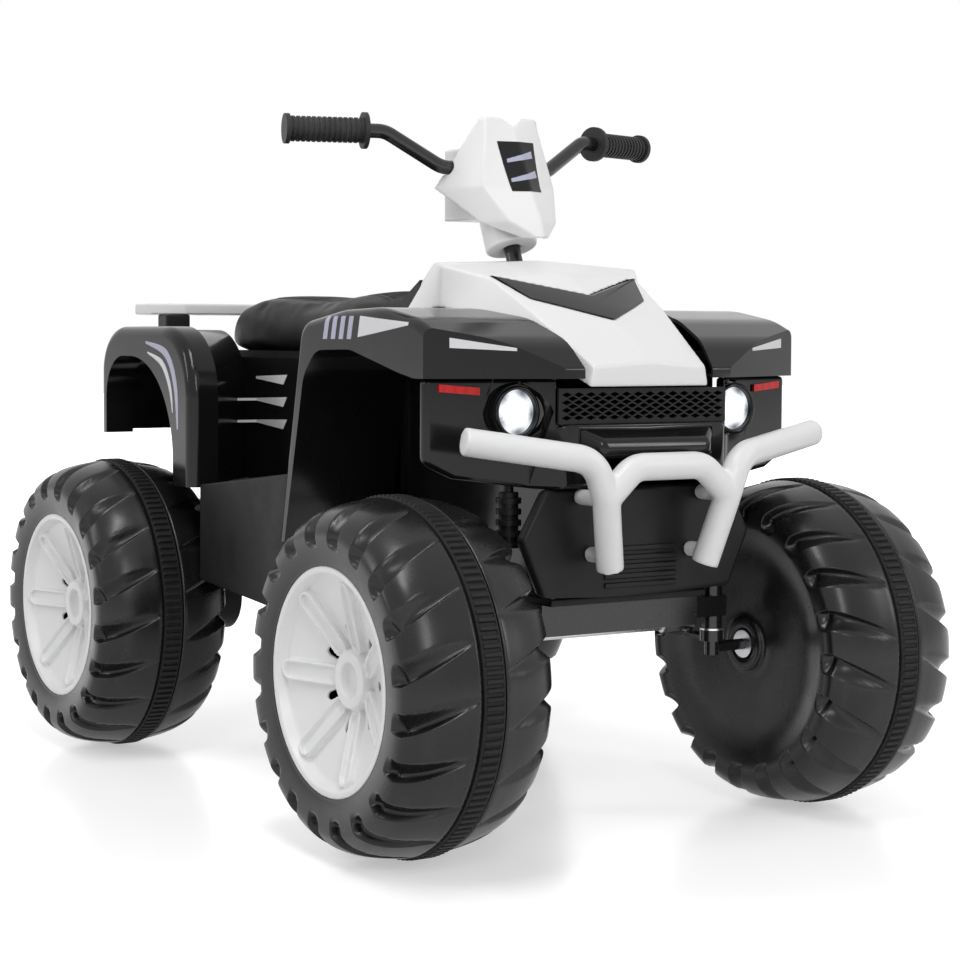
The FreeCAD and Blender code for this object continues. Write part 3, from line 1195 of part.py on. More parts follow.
def make_kingpin():
    """Left kingpin rod, bent into the stub axle, with its collar, steering arm and nut."""
    nut_z = SLEEVE_TOP_Z + WASHER_HEIGHT
    top_z = nut_z + KING_NUT_HEIGHT
    foot_z = TYRE_RADIUS - ELBOW_RADIUS
    profile = [(0, foot_z), (ELBOW_RADIUS, foot_z), (ELBOW_RADIUS, KNUCKLE_LOW_Z),
               (KNUCKLE_RADIUS, KNUCKLE_LOW_Z),
               (KNUCKLE_RADIUS, KNUCKLE_TOP_Z), (KING_RADIUS, KNUCKLE_TOP_Z), (KING_RADIUS, nut_z),
               (KING_NUT_RADIUS, nut_z), (KING_NUT_RADIUS, top_z), (0, top_z)]
    upright = face_of([Vector(r, 0, z) for r, z in profile]).revolve(Vector(0, 0, 0), Vector(0, 0, 1), 360)
    upright.rotate(Vector(0, 0, 0), Vector(0, 0, 1), 180)
    upright = upright.translated(Vector(KING_X, FRONT_AXLE_Y, 0))
    mid = ARM_REACH + ARM_SLOT_REACH / 2
    reach = mid + ARM_SLOT_REACH + PIN_RADIUS + ARM_SLOT_HALF
    arm = block((KING_X - ARM_WIDTH / 2, KING_X + ARM_WIDTH / 2),
                (FRONT_AXLE_Y + KNUCKLE_RADIUS / 2, FRONT_AXLE_Y + reach),
                (KNUCKLE_LOW_Z + WASHER_HEIGHT / 2, KNUCKLE_LOW_Z + ARM_HEIGHT))
    slot = stadium_on(Vector(KING_X, FRONT_AXLE_Y + mid, KNUCKLE_LOW_Z - ARM_HEIGHT), Vector(0, 1, 0),
                      Vector(0, 0, 1), 2 * (ARM_SLOT_REACH + ARM_SLOT_HALF), 2 * ARM_SLOT_HALF,
                      3 * ARM_HEIGHT)
    hub_x = WHEEL_X + BACK_X - HUB_STAND - SEAT_GAP
    end_x = WHEEL_X + TYRE_HALF - AXLE_END_INSET
    shoulder_radius = AXLE_RADIUS + WASHER_HEIGHT / 2
    stub = revolve_x([(KING_X, 0), (KING_X, shoulder_radius), (hub_x, shoulder_radius), (hub_x, AXLE_RADIUS),
                      (end_x, AXLE_RADIUS), (end_x, 0)])
    stub = stub.translated(Vector(0, FRONT_AXLE_Y, TYRE_RADIUS))
    return upright.fuse(arm.cut(slot)).fuse(stub)


def make_tie_rod():
    """Rod with thick ends, a pin down into each steering arm and a slotted tab for the crank."""
    rod = bar_x(TIE_RADIUS, -KING_X, KING_X, TIE_Y, TIE_Z)
    shapes = []
    for side in (1, -1):
        inner = side * (KING_X - TIE_END_LENGTH)
        shapes.append(bar_x(TIE_END_RADIUS, inner, side * (KING_X + TIE_END_RADIUS), TIE_Y, TIE_Z))
        shapes.append(bar_between(PIN_RADIUS, Vector(side * KING_X, TIE_Y, TIE_Z),
                                  Vector(side * KING_X, TIE_Y, KNUCKLE_LOW_Z - SEAT_GAP)))
    reach = CRANK_PIN.y - TIE_Y + TAB_LENGTH / 2
    tab = block((-TAB_LENGTH / 2, TAB_LENGTH / 2), (TIE_Y, TIE_Y + reach),
                (TIE_Z - TAB_HEIGHT / 2, TIE_Z + TAB_HEIGHT / 2))
    slot = stadium_on(Vector(0, CRANK_PIN.y - TAB_SLOT_BACK, TIE_Z - TAB_HEIGHT), Vector(0, 1, 0),
                      Vector(0, 0, 1), 2 * (TAB_SLOT_HALF + TAB_SLOT_REACH), 2 * TAB_SLOT_HALF,
                      2 * TAB_HEIGHT)
    return rod.multiFuse(shapes + [tab]).cut(slot).removeSplitter()


def make_strut():
    """Left dummy damper: a ribbed boot over the kingpin, on a rod that hangs from the fender."""
    step = (STRUT_TOP_Z - STRUT_LOW_Z) / (2 * STRUT_RIB_COUNT)
    profile = [(0, STRUT_LOW_Z)]
    for i in range(STRUT_RIB_COUNT):
        low = STRUT_LOW_Z + 2 * i * step
        profile += [(STRUT_RADIUS, low), (STRUT_RADIUS, low + step),
                    (STRUT_RADIUS - STRUT_RIB_DEPTH, low + step),
                    (STRUT_RADIUS - STRUT_RIB_DEPTH, low + 2 * step)]
    profile += [(STRUT_ROD_RADIUS, STRUT_TOP_Z), (STRUT_ROD_RADIUS, MASK_TOP_Z), (0, MASK_TOP_Z)]
    face = face_of([Vector(r, 0, z) for r, z in profile])
    boot = face.revolve(Vector(0, 0, 0), Vector(0, 0, 1), 360)
    return boot.translated(Vector(KING_X - STRUT_INSET, FRONT_AXLE_Y - STRUT_SETBACK, 0))


CRANK_Z = BEAM_LOW_Z + CRANK_LIFT
CRANK_ROOT = column_point(CRANK_Z)
CRANK_DOWN = Vector(0, RAKE_COS, -RAKE_SIN)
CRANK_END = CRANK_ROOT + CRANK_DOWN * CRANK_REACH
CRANK_PIN = CRANK_END - COLUMN_AXIS * ((CRANK_END.z - TIE_Z) / RAKE_COS)


def bar_path():
    """Corners of the left half of the handlebar's middle line, and its end."""
    return [Vector(BAR_SHOULDER_X, COLUMN_TOP_Y, COLUMN_TOP_Z),
            Vector(BAR_KNEE_X, COLUMN_TOP_Y + BAR_PULL, BAR_GRIP_Z),
            Vector(BAR_END_X, COLUMN_TOP_Y + BAR_SWEEP, BAR_GRIP_Z)]


def make_bar(radius):
    """Bent handlebar of one radius."""
    left = bar_path()
    right = [Vector(-p.x, p.y, p.z) for p in reversed(left)]
    return bent_tube(radius, right + left, BAR_BEND)


def make_column(bar):
    """Column with its crank and pin, saddled to the bar."""
    column = bar_between(COLUMN_RADIUS, CRANK_ROOT, COLUMN_TOP)
    side = Vector(CRANK_WIDTH / 2, 0, 0)
    start = CRANK_ROOT - COLUMN_AXIS * (CRANK_HEIGHT / 2)
    end = CRANK_END - COLUMN_AXIS * (CRANK_HEIGHT / 2) + CRANK_DOWN * (CRANK_WIDTH / 2)
    arm = face_of([start - side, start + side, end + side, end - side]).extrude(COLUMN_AXIS * CRANK_HEIGHT)
    pin = bar_between(PIN_RADIUS, CRANK_END, CRANK_PIN - COLUMN_AXIS * TAB_HEIGHT)
    return column.multiFuse([arm, pin]).cut(bar).removeSplitter()


def make_grip():
    """Left grip: a ribbed sleeve with a flange at each end."""
    knee, tip = bar_path()[1:]
    inward = Vector(knee - tip).normalize()
    start = tip - inward * GRIP_FLANGE
    step = (GRIP_LENGTH - 2 * GRIP_FLANGE) / (2 * GRIP_RIB_COUNT)
    profile = [(0, 0), (GRIP_RADIUS + GRIP_FLANGE / 2, 0), (GRIP_RADIUS + GRIP_FLANGE / 2, GRIP_FLANGE)]
    for i in range(GRIP_RIB_COUNT):
        low = GRIP_FLANGE + 2 * i * step
        profile += [(GRIP_RADIUS - GRIP_RIB_DEPTH, low), (GRIP_RADIUS - GRIP_RIB_DEPTH, low + step),
                    (GRIP_RADIUS, low + step), (GRIP_RADIUS, low + 2 * step)]
    flange_start = GRIP_LENGTH - GRIP_FLANGE
    profile += [(GRIP_FLANGE_RADIUS, flange_start), (GRIP_FLANGE_RADIUS, GRIP_LENGTH), (0, GRIP_LENGTH)]
    face = face_of([Vector(r, 0, along) for r, along in profile])
    grip = face.revolve(Vector(0, 0, 0), Vector(0, 0, 1), 360)
    grip.Placement = FreeCAD.Placement(start, FreeCAD.Rotation(Vector(0, 0, 1), inward))
    bore = bar_between(BAR_RADIUS + RUNNING_FIT, tip, tip + inward * (GRIP_LENGTH + OVERRUN))
    return grip.cut(bore)


def cover_sections():
    """Flat sections of the front bar cover, each a half ring behind its face."""
    sections = []
    for i, share in enumerate(COVER_STATION_SHARES):
        z = COVER_LOW_Z + share * COVER_HEIGHT
        ridge = COVER_FRONT_Y + COVER_CENTRE_SHARES[i] * COVER_DEPTH
        face = (COVER_FACE_SHARES[i][0] * COVER_HALF_WIDTH,
                COVER_FRONT_Y + COVER_FACE_SHARES[i][1] * COVER_DEPTH)
        edge = (COVER_SHARES[i][0] * COVER_HALF_WIDTH, COVER_FRONT_Y + COVER_SHARES[i][1] * COVER_DEPTH)
        outer = [(0, ridge), face, edge]
        inner = [(edge[0] - COVER_WALL, edge[1]), (face[0] - COVER_WALL, face[1] + COVER_WALL),
                 (0, ridge + COVER_WALL)]
        right = outer + inner
        left = [(-x, y) for x, y in reversed(outer[1:] + inner[:2])]
        ring = right + left
        sections.append([Vector(x, y, z) for x, y in ring])
    return sections


def make_covers(bar_room, column_room):
    """Front cover with two horns, and a box that closes it behind the bar."""
    front = ruled_loft(cover_sections())
    top = COVER_LOW_Z + COVER_HEIGHT
    notch = prism_y([(-COVER_NOTCH_HALF, top + OVERRUN / 2), (0, top - COVER_NOTCH_DEPTH),
                     (COVER_NOTCH_HALF, top + OVERRUN / 2)], COVER_FRONT_Y, 0)
    front = front.cut(notch).cut(bar_room).cut(column_room)
    back_front_y = COLUMN_TOP_Y - COVER_BACK_HALF
    back_rear_y = COLUMN_TOP_Y + COVER_BACK_REACH
    back = block((-COVER_BACK_HALF, COVER_BACK_HALF), (back_front_y, back_rear_y),
                 (COVER_BACK_LOW_Z, COVER_BACK_TOP_Z))
    hollow = block((COVER_WALL - COVER_BACK_HALF, COVER_BACK_HALF - COVER_WALL),
                   (back_front_y - OVERRUN, back_rear_y - COVER_WALL),
                   (COVER_BACK_LOW_Z + COVER_WALL, COVER_BACK_TOP_Z - COVER_WALL))
    back = back.cut(hollow).cut(bar_room).cut(column_room).cut(front)
    largest = max(back.Solids, key=lambda s: s.Volume)
    return front, largest


def make_steering():
    """Everything that turns with the handlebar."""
    bar = make_bar(BAR_RADIUS)
    write("handlebar", bar)
    write("steering_column", make_column(bar))
    grip = make_grip()
    write("grip_left", grip)
    write("grip_right", mirrored(grip))
    bar_room = make_bar(BAR_RADIUS + SEAT_GAP)
    column_room = column_bar(COLUMN_RADIUS + SEAT_GAP, HOOD_TOP_Z, COLUMN_TOP_Z)
    front, back = make_covers(bar_room, column_room)
    write("bar_cover_front", front)
    write("bar_cover_back", back)
    low = column_point(HOOD_TOP_Z + SHROUD_LIFT)
    shroud = Part.makeCylinder(SHROUD_RADIUS, SHROUD_LENGTH, low, COLUMN_AXIS)
    shroud = shroud.cut(Part.makeCylinder(COLUMN_RADIUS, SHROUD_LENGTH, low, COLUMN_AXIS))
    write("column_shroud", shroud.cut(front).cut(back))


def make_face():
    """Mask, grille, lamps, reflectors, guard and skid plate."""
    write("front_mask", make_mask())
    write("front_grille", make_grille())
    housing, lens = make_lamps()
    write("headlight_housings", pair(housing))
    write("headlight_lenses", pair(lens))
    write("side_reflectors", make_reflectors())
    write("brush_guard", make_guard())
    write("skid_plate", make_skid())


def make_front_axle():
    """Beam, washers, kingpins, tie rod and dummy dampers."""
    write("axle_beam", make_axle_beam())
    write("kingpin_washers", make_washers())
    kingpin = make_kingpin()
    write("kingpin_left", kingpin)
    write("kingpin_right", mirrored(kingpin))
    write("tie_rod", make_tie_rod())
    write("strut_boots", pair(make_strut()))


# Rear body, seat, rack and drive


def fender_section(x, slant, inset):
    """One section of the left rear fender across X: its front set back by the slant, its walls moved in."""
    share = slant / REAR_SLANT
    front = REAR_FENDER_FRONT_Y + slant
    arch_round = ARCH_FRONT_ROUND + share * (ARCH_INNER_ROUND - ARCH_FRONT_ROUND) + inset
    arch_front = front + REAR_LEG - inset
    arch_rear = REAR_FENDER_REAR_Y - REAR_FLAP + inset
    low = REAR_FENDER_LOW_Z + inset
    flap = REAR_FLAP_Z + inset
    top = REAR_FENDER_TOP_Z - inset
    rear = REAR_FENDER_REAR_Y - inset
    arch_top = ARCH_TOP_Z + inset
    corners = [(front + inset, low), (front + inset, top), (rear, top), (rear, flap), (arch_rear, flap),
               (arch_rear, arch_top), (arch_front, arch_top), (arch_front, low)]
    radii = [0, REAR_FRONT_ROUND - inset, REAR_BACK_ROUND - inset, 0,
             0, ARCH_BACK_ROUND + inset, arch_round, 0]
    return rounded_face([Vector(x, y, z) for y, z in corners], radii)


def fender_loft(inner_x, outer_x, inset):
    """The part of the fender whose front slants back towards the tub."""
    sections = [fender_section(inner_x, REAR_SLANT, inset), fender_section(outer_x, 0, inset)]
    return Part.makeLoft([s.OuterWire for s in sections], True, True)


def on_border_rim(edge):
    """Tells whether an edge of the fender's border runs along its outer rim, away from the arch."""
    middle = edge.valueAt((edge.FirstParameter + edge.LastParameter) / 2)
    at_side = edge.BoundBox.XMin > REAR_FENDER_OUT_X - SEAT_GAP
    front = middle.y < REAR_FENDER_FRONT_Y + SEAT_GAP
    rear = middle.y > REAR_FENDER_REAR_Y - SEAT_GAP
    return at_side and (front or rear or middle.z > ARCH_TOP_Z + SEAT_GAP)


def make_rear_body():
    """Hollow tub on the tray's rim, with a fender over each rear wheel."""
    half = REAR_TUB_HALF
    wall = SHELL_WALL
    tub = block((-half, half), (REAR_TUB_FRONT_Y, TRAY_REAR_Y), (TRAY_RIM_Z, SEAT_BASE_Z))
    room = block((wall - half, half - wall), (REAR_TUB_FRONT_Y + wall, TRAY_REAR_Y - wall),
                 (TRAY_RIM_Z + wall, SEAT_BASE_Z - wall))
    mouth = block((2 * wall - TRAY_HALF_WIDTH, TRAY_HALF_WIDTH - 2 * wall),
                  (REAR_TUB_FRONT_Y + wall, TRAY_REAR_Y - 2 * wall),
                  (TRAY_RIM_Z - OVERRUN, SEAT_BASE_Z - wall))
    inner_x = half - wall / 2
    border_x = REAR_FENDER_OUT_X - BORDER_WIDTH
    border = fender_section(border_x, 0, 0).extrude(Vector(BORDER_WIDTH, 0, 0))
    border = border.makeFillet(REAR_EDGE_ROUND, [e for e in border.Edges if on_border_rim(e)])
    barrel = fender_loft(inner_x, border_x, BORDER_STEP)
    fender = border.fuse(barrel)
    inset = BORDER_STEP + wall
    way_in = fender_section(inner_x - 2 * wall, REAR_SLANT, inset).extrude(Vector(2 * wall, 0, 0))
    hollow = fender_section(border_x, 0, inset).extrude(Vector(BORDER_WIDTH - 2 * wall, 0, 0))
    body = tub.multiFuse([fender, mirrored(fender)])
    for cut in (room, mouth):
        body = body.cut(cut)
    for cut in (way_in, fender_loft(inner_x, border_x, inset), hollow):
        body = body.cut(cut).cut(mirrored(cut))
    return body.removeSplitter()


def seat_section(y, half, low, height):
    """One rounded section of the cushion: flat below, bulged sides, crowned top."""
    tuck = half - SEAT_TUCK
    shoulder = low + height - SEAT_CROWN
    a = Vector(-tuck, y, low)
    b = Vector(tuck, y, low)
    c = Vector(tuck, y, shoulder)
    d = Vector(-tuck, y, shoulder)
    middle = (low + shoulder) / 2
    return Part.Wire([
        Part.makeLine(a, b),
        Part.Arc(b, Vector(half, y, middle), c).toShape(),
        Part.Arc(c, Vector(0, y, low + height), d).toShape(),
        Part.Arc(d, Vector(-half, y, middle), a).toShape(),
    ])


def make_seat():
    """Base board, then a cushion with a crown, drawn-in sides and cross channels."""
    base = block((SEAT_TUCK - SEAT_HALF_WIDTH, SEAT_HALF_WIDTH - SEAT_TUCK),
                 (SEAT_FRONT_Y, SEAT_FRONT_Y + SEAT_LENGTH),
                 (SEAT_BASE_Z, SEAT_BASE_Z + SEAT_BASE_HEIGHT))
    low = SEAT_BASE_Z + SEAT_BASE_HEIGHT
    sections = []
    for along, width, height in SEAT_SHARES:
        sections.append(seat_section(SEAT_FRONT_Y + along * SEAT_LENGTH, width * SEAT_HALF_WIDTH, low,
                                     height * SEAT_HEIGHT))
    cushion = Part.makeLoft(sections, True, False)
    step = SEAT_LENGTH / (SEAT_CHANNEL_COUNT + 2)
    channels = []
    for i in range(SEAT_CHANNEL_COUNT):
        y = SEAT_FRONT_Y + (i + 1) * step
        z = low + SEAT_HEIGHT - SEAT_CHANNEL_DEPTH
        high = low + SEAT_HEIGHT + SEAT_CROWN
        notch = [(y, z - SEAT_CROWN), (y + SEAT_CHANNEL_DEPTH, high), (y - SEAT_CHANNEL_DEPTH, high)]
        channels.append(prism_x(notch, -SEAT_HALF_WIDTH, SEAT_HALF_WIDTH))
    return base, cushion.cut(Part.makeCompound(channels))


def make_side_panel():
    """Left panel between the foot well and the seat."""
    foot_x = TRAY_HALF_WIDTH + SEAT_GAP
    foot_z = FOOT_FLOOR_Z + FOOT_LEDGE_HEIGHT + SEAT_GAP
    outline = [(foot_x, foot_z), (foot_x + PANEL_WALL, foot_z),
               (foot_x + PANEL_WALL + PANEL_LEAN, TRAY_RIM_Z),
               (SEAT_HALF_WIDTH - SEAT_TUCK, SEAT_BASE_Z),
               (SEAT_HALF_WIDTH - SEAT_TUCK - 2 * PANEL_WALL, SEAT_BASE_Z),
               (foot_x, TRAY_RIM_Z + PANEL_WALL)]
    panel = prism_y(outline, PANEL_FRONT_Y, REAR_TUB_FRONT_Y - SEAT_GAP)
    flange = block((0, FRONT_WALL_IN_X + SEAT_GAP), (FIREWALL_Y, SEAT_FRONT_Y),
                   (DASH_FOOT_Z - SHELL_WALL - SEAT_GAP, DASH_FOOT_Z + OVERRUN))
    return panel.cut(flange)


def make_rack(rear_body):
    """Rack frame with slats, on two posts that follow the fender tops."""
    top = RACK_LOW_Z + RACK_HEIGHT
    rear = RACK_FRONT_Y + RACK_LENGTH
    corner = RACK_CORNER
    half = [(RACK_HALF_WIDTH - corner, RACK_FRONT_Y), (RACK_HALF_WIDTH, RACK_FRONT_Y + corner),
            (RACK_HALF_WIDTH, rear - corner), (RACK_HALF_WIDTH - corner, rear)]
    frame = prism_z(both_sides(half), RACK_LOW_Z, top)
    inner = RACK_HALF_WIDTH - RACK_FRAME
    depth = RACK_LENGTH - 2 * RACK_FRAME
    gap = (depth - RACK_SLAT_COUNT * RACK_SLAT_WIDTH) / (RACK_SLAT_COUNT + 1)
    holes = []
    for i in range(RACK_SLAT_COUNT + 1):
        start = RACK_FRONT_Y + RACK_FRAME + i * (gap + RACK_SLAT_WIDTH)
        holes.append(block((-inner, inner), (start, start + gap), (RACK_LOW_Z - OVERRUN, top + OVERRUN)))
    frame = frame.cut(Part.makeCompound(holes))
    posts = []
    for side in (1, -1):
        post = block((side * POST_X - POST_WIDTH / 2, side * POST_X + POST_WIDTH / 2),
                     (POST_FRONT_Y, POST_FRONT_Y + POST_LENGTH), (SEAT_BASE_Z, RACK_LOW_Z))
        posts.append(max(post.cut(rear_body).Solids, key=lambda s: s.CenterOfMass.z))
    return frame, Part.makeCompound(posts)


def make_gearbox():
    """Left gearbox beside the tray: a case around the axle that rises to the motor."""
    axis = Vector(TRAY_HALF_WIDTH, REAR_AXLE_Y, TYRE_RADIUS)
    case = Part.makeCylinder(GEARBOX_RADIUS, GEARBOX_WIDTH, axis, Vector(1, 0, 0))
    neck = block((TRAY_HALF_WIDTH, TRAY_HALF_WIDTH + GEARBOX_WIDTH),
                 (REAR_AXLE_Y - GEARBOX_RADIUS, REAR_AXLE_Y + GEARBOX_RADIUS), (TYRE_RADIUS, GEARBOX_TOP_Z))
    bore = bar_x(AXLE_RADIUS + RUNNING_FIT, 0, WHEEL_X, REAR_AXLE_Y, TYRE_RADIUS)
    return case.fuse(neck).cut(bore).removeSplitter()


def make_drive():
    """Axle, gearboxes, motors, battery and control box."""
    end = WHEEL_X + TYRE_HALF - AXLE_END_INSET
    write("rear_axle", bar_x(AXLE_RADIUS, -end, end, REAR_AXLE_Y, TYRE_RADIUS))
    gearbox = make_gearbox()
    write("gearbox_left", gearbox)
    write("gearbox_right", mirrored(gearbox))
    motor = bar_x(MOTOR_RADIUS, TRAY_HALF_WIDTH - MOTOR_LENGTH, TRAY_HALF_WIDTH, MOTOR_Y, MOTOR_Z)
    write("motors", pair(motor))
    write("battery", block((-BATTERY_HALF_WIDTH, BATTERY_HALF_WIDTH),
                           (BATTERY_FRONT_Y, BATTERY_FRONT_Y + BATTERY_LENGTH),
                           (TRAY_TOP_Z, TRAY_TOP_Z + BATTERY_HEIGHT)))
    write("control_box", block((-CONTROL_HALF_WIDTH, CONTROL_HALF_WIDTH),
                               (CONTROL_FRONT_Y, CONTROL_FRONT_Y + CONTROL_LENGTH),
                               (TRAY_TOP_Z, TRAY_TOP_Z + CONTROL_HEIGHT)))


def make_rear():
    """Rear body, seat, side panels and rack."""
    body = make_rear_body()
    write("rear_body", body)
    base, cushion = make_seat()
    write("seat_base", base)
    write("seat_cushion", cushion)
    panel = make_side_panel()
    write("side_panel_left", panel)
    write("side_panel_right", mirrored(panel))
    rack, posts = make_rack(body)
    write("rear_rack", rack)
    write("rack_posts", posts)


os.makedirs("parts", exist_ok=True)
write("chassis_tray", make_chassis())
make_foot_wells()
make_front()
make_face()
make_front_axle()
make_steering()
make_rear()
make_drive()
make_wheels()
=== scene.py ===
"""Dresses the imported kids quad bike: moulded shells, lugged wheels, padded seat, lamps and finishes."""

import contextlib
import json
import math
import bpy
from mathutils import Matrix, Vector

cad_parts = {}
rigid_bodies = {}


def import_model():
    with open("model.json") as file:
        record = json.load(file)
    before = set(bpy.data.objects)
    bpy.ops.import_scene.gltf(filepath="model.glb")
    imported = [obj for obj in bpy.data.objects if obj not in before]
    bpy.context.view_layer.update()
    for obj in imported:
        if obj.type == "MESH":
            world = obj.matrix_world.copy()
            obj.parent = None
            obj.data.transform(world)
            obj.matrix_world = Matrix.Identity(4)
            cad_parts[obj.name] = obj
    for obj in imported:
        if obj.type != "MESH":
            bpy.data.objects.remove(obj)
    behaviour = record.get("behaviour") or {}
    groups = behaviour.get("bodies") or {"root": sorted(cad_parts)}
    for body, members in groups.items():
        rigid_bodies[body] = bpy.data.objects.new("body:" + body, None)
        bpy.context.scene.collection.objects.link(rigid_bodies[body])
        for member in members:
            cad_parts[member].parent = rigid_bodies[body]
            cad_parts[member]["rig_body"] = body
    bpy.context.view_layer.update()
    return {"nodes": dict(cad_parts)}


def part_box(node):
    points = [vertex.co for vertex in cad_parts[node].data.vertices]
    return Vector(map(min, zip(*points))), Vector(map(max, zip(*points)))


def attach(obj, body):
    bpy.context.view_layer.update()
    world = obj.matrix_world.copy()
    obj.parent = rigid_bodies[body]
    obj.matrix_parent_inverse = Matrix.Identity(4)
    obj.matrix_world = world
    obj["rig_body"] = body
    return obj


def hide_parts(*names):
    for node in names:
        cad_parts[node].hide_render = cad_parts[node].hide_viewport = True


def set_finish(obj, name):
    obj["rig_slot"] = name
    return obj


bl_info = {
    "name": "Kids Quad Bike",
    "version": (1, 0, 0),
    "blender": (4, 5, 0),
    "location": "View3D > Sidebar > Quad Bike",
    "description": "Builds the looks of a ride-on quad bike around its CAD frame",
    "category": "Object",
}

import bmesh
import bpy
from bpy.props import FloatProperty, FloatVectorProperty, IntProperty, PointerProperty
from mathutils import Matrix, Vector

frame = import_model()
NODES = frame["nodes"]
WHEELS = ("front_left", "front_right", "rear_left", "rear_right")
SIDES = ((1.0, "left"), (-1.0, "right"))
FINISHES = {}
NODE_SLOTS = {}
MERGE_DISTANCE = 0.00002
FLAT_ANGLE = math.radians(1.5)
SHARP_ANGLE = math.radians(24.0)
SMOOTH_ANGLE = math.radians(42.0)
ROUNDING_SEGMENTS = 3
NARROW_FACE_SHARE = 0.42
STRAY_SHARE = 0.5
MELT_FACTOR = 0.5


def colour_property(name, description, default):
    """A colour that the user can change."""
    return FloatVectorProperty(
        name=name, description=description, default=default, subtype="COLOR", size=3, min=0.0, max=1.0
    )


def length_property(name, description, default):
    """A length that the user can change, in metres."""
    return FloatProperty(
        name=name, description=description, default=default, subtype="DISTANCE", unit="LENGTH"
    )


def power_property(name, description, default):
    """A lamp's power that the user can change, in watts."""
    return FloatProperty(name=name, description=description, default=default, unit="POWER")


class QuadColours(bpy.types.PropertyGroup):
    """Colours of the quad bike's finishes."""

    gloss_black: colour_property("Gloss black", "Body shells", (0.006, 0.006, 0.0065))
    satin_black: colour_property("Satin black", "Chassis and inner mouldings", (0.009, 0.009, 0.0095))
    white: colour_property("White", "Hood, covers, guard, rack and rims", (0.83, 0.83, 0.835))
    tyre: colour_property("Tyre", "Blow-moulded tyres", (0.008, 0.008, 0.0085))
    band: colour_property("Band", "Rubber bands round the tyres", (0.009, 0.009, 0.0095))
    steel: colour_property("Steel", "Zinc-plated hardware", (0.62, 0.62, 0.64))
    painted: colour_property("Painted steel", "Handlebar and axle parts", (0.008, 0.008, 0.0085))
    grip: colour_property("Grip", "Rubber of the hand grips", (0.02, 0.02, 0.0205))
    leather: colour_property("Leather", "Cover of the seat", (0.011, 0.011, 0.0115))
    thread: colour_property("Thread", "Stitches of the seat", (0.035, 0.035, 0.036))
    lamp: colour_property("Lamp", "Glow of the headlights", (0.93, 0.96, 1.0))
    reflector: colour_property("Reflector", "Red side reflectors", (0.55, 0.012, 0.012))
    pale_stripe: colour_property("Pale stripe", "Light stripes on the fenders", (0.72, 0.72, 0.74))
    lilac_stripe: colour_property("Lilac stripe", "Tinted stripes on the fenders", (0.43, 0.43, 0.56))
    floor: colour_property("Floor", "Studio floor", (0.92, 0.92, 0.92))


class QuadSizes(bpy.types.PropertyGroup):
    """Sizes of the pieces that Blender adds."""

    shell_edge: length_property("Shell edge", "Rounding of the large shells", 0.006)
    plate_edge: length_property("Plate edge", "Rounding of the small mouldings", 0.0025)
    groove_depth: length_property("Groove depth", "Depth of the tread grooves at the shoulder", 0.0125)
    groove_reach: length_property("Groove reach", "How far a groove runs down the side wall", 0.016)
    band_ribs: IntProperty(name="Band ribs", description="Ribs round one tyre band", default=136, min=12)
    band_rib: length_property("Band rib", "Height of a rib on the band", 0.0026)
    rim_grain: length_property("Rim grain", "Detail kept when the rims are softened", 0.0012)
    blown_grain: length_property("Blown grain", "Detail kept when the blow mouldings are softened", 0.0017)
    seat_grain: length_property("Seat grain", "Detail of the cushion before it swells", 0.005)
    seat_shrink: length_property("Seat shrink", "How much smaller the cushion starts", 0.004)
    seat_swell: length_property("Seat swell", "Farthest that a point of the cushion may move", 0.007)
    seat_rib_pitch: length_property("Seat rib pitch", "Distance between ribs of the seat's top panel", 0.0042)
    seat_rib: length_property("Seat rib", "Height of a rib of the seat's top panel", 0.0012)
    stitch: length_property("Stitch", "Length of one stitch", 0.0038)
    film: length_property("Film", "Thickness of the stripes", 0.0004)


class QuadStudio(bpy.types.PropertyGroup):
    """Light, floor and camera of the studio."""

    floor_size: length_property("Floor size", "Side of the square floor", 30.0)
    key_power: power_property("Key light", "Power of the top softbox", 17.0)
    side_power: power_property("Side light", "Power of the side softboxes", 9.0)
    front_power: power_property("Front light", "Power of the front softbox", 12.0)
    sky: FloatProperty(name="Sky", description="Strength of the even light", default=0.34)
    focal: FloatProperty(name="Focal length", description="Camera lens in millimetres", default=80.77)


def colours():
    """The scene's chosen colours."""
    return bpy.context.scene.quad_colours


def sizes():
    """The scene's chosen sizes."""
    return bpy.context.scene.quad_sizes


# Selecting and shaping


def only(piece):
    """Makes the piece the one selected and active object."""
    bpy.ops.object.select_all(action="DESELECT")
    piece.select_set(True)
    bpy.context.view_layer.objects.active = piece


@contextlib.contextmanager
def editing(piece):
    """Edit mode on one piece, with all of it selected."""
    only(piece)
    bpy.ops.object.mode_set(mode="EDIT")
    bpy.ops.mesh.select_all(action="SELECT")
    yield
    bpy.ops.object.mode_set(mode="OBJECT")


def apply_modifier(piece, name, kind, **settings):
    """Adds a modifier to the piece and applies it."""
    modifier = piece.modifiers.new(name, kind)
    for key, value in settings.items():
        setattr(modifier, key, value)
    only(piece)
    bpy.ops.object.modifier_apply(modifier=modifier.name)


def face_room(face, edge):
    """How far a face reaches inward from the middle of one of its edges."""
    corner = next(loop for loop in face.loops if loop.edge == edge)
    start = corner.vert.co
    along = (corner.link_loop_next.vert.co - start).normalized()
    inward = face.normal.cross(along)
    middle = (edge.verts[0].co + edge.verts[1].co) / 2
    room = math.inf
    for other in face.edges:
        if other is edge:
            continue
        a, b = (v.co - middle for v in other.verts)
        ax, bx = a.dot(along), b.dot(along)
        if (ax > 0) == (bx > 0):
            continue
        reach = a.dot(inward) + (b - a).dot(inward) * ax / (ax - bx)
        if reach > MERGE_DISTANCE:
            room = min(room, reach)
    return room


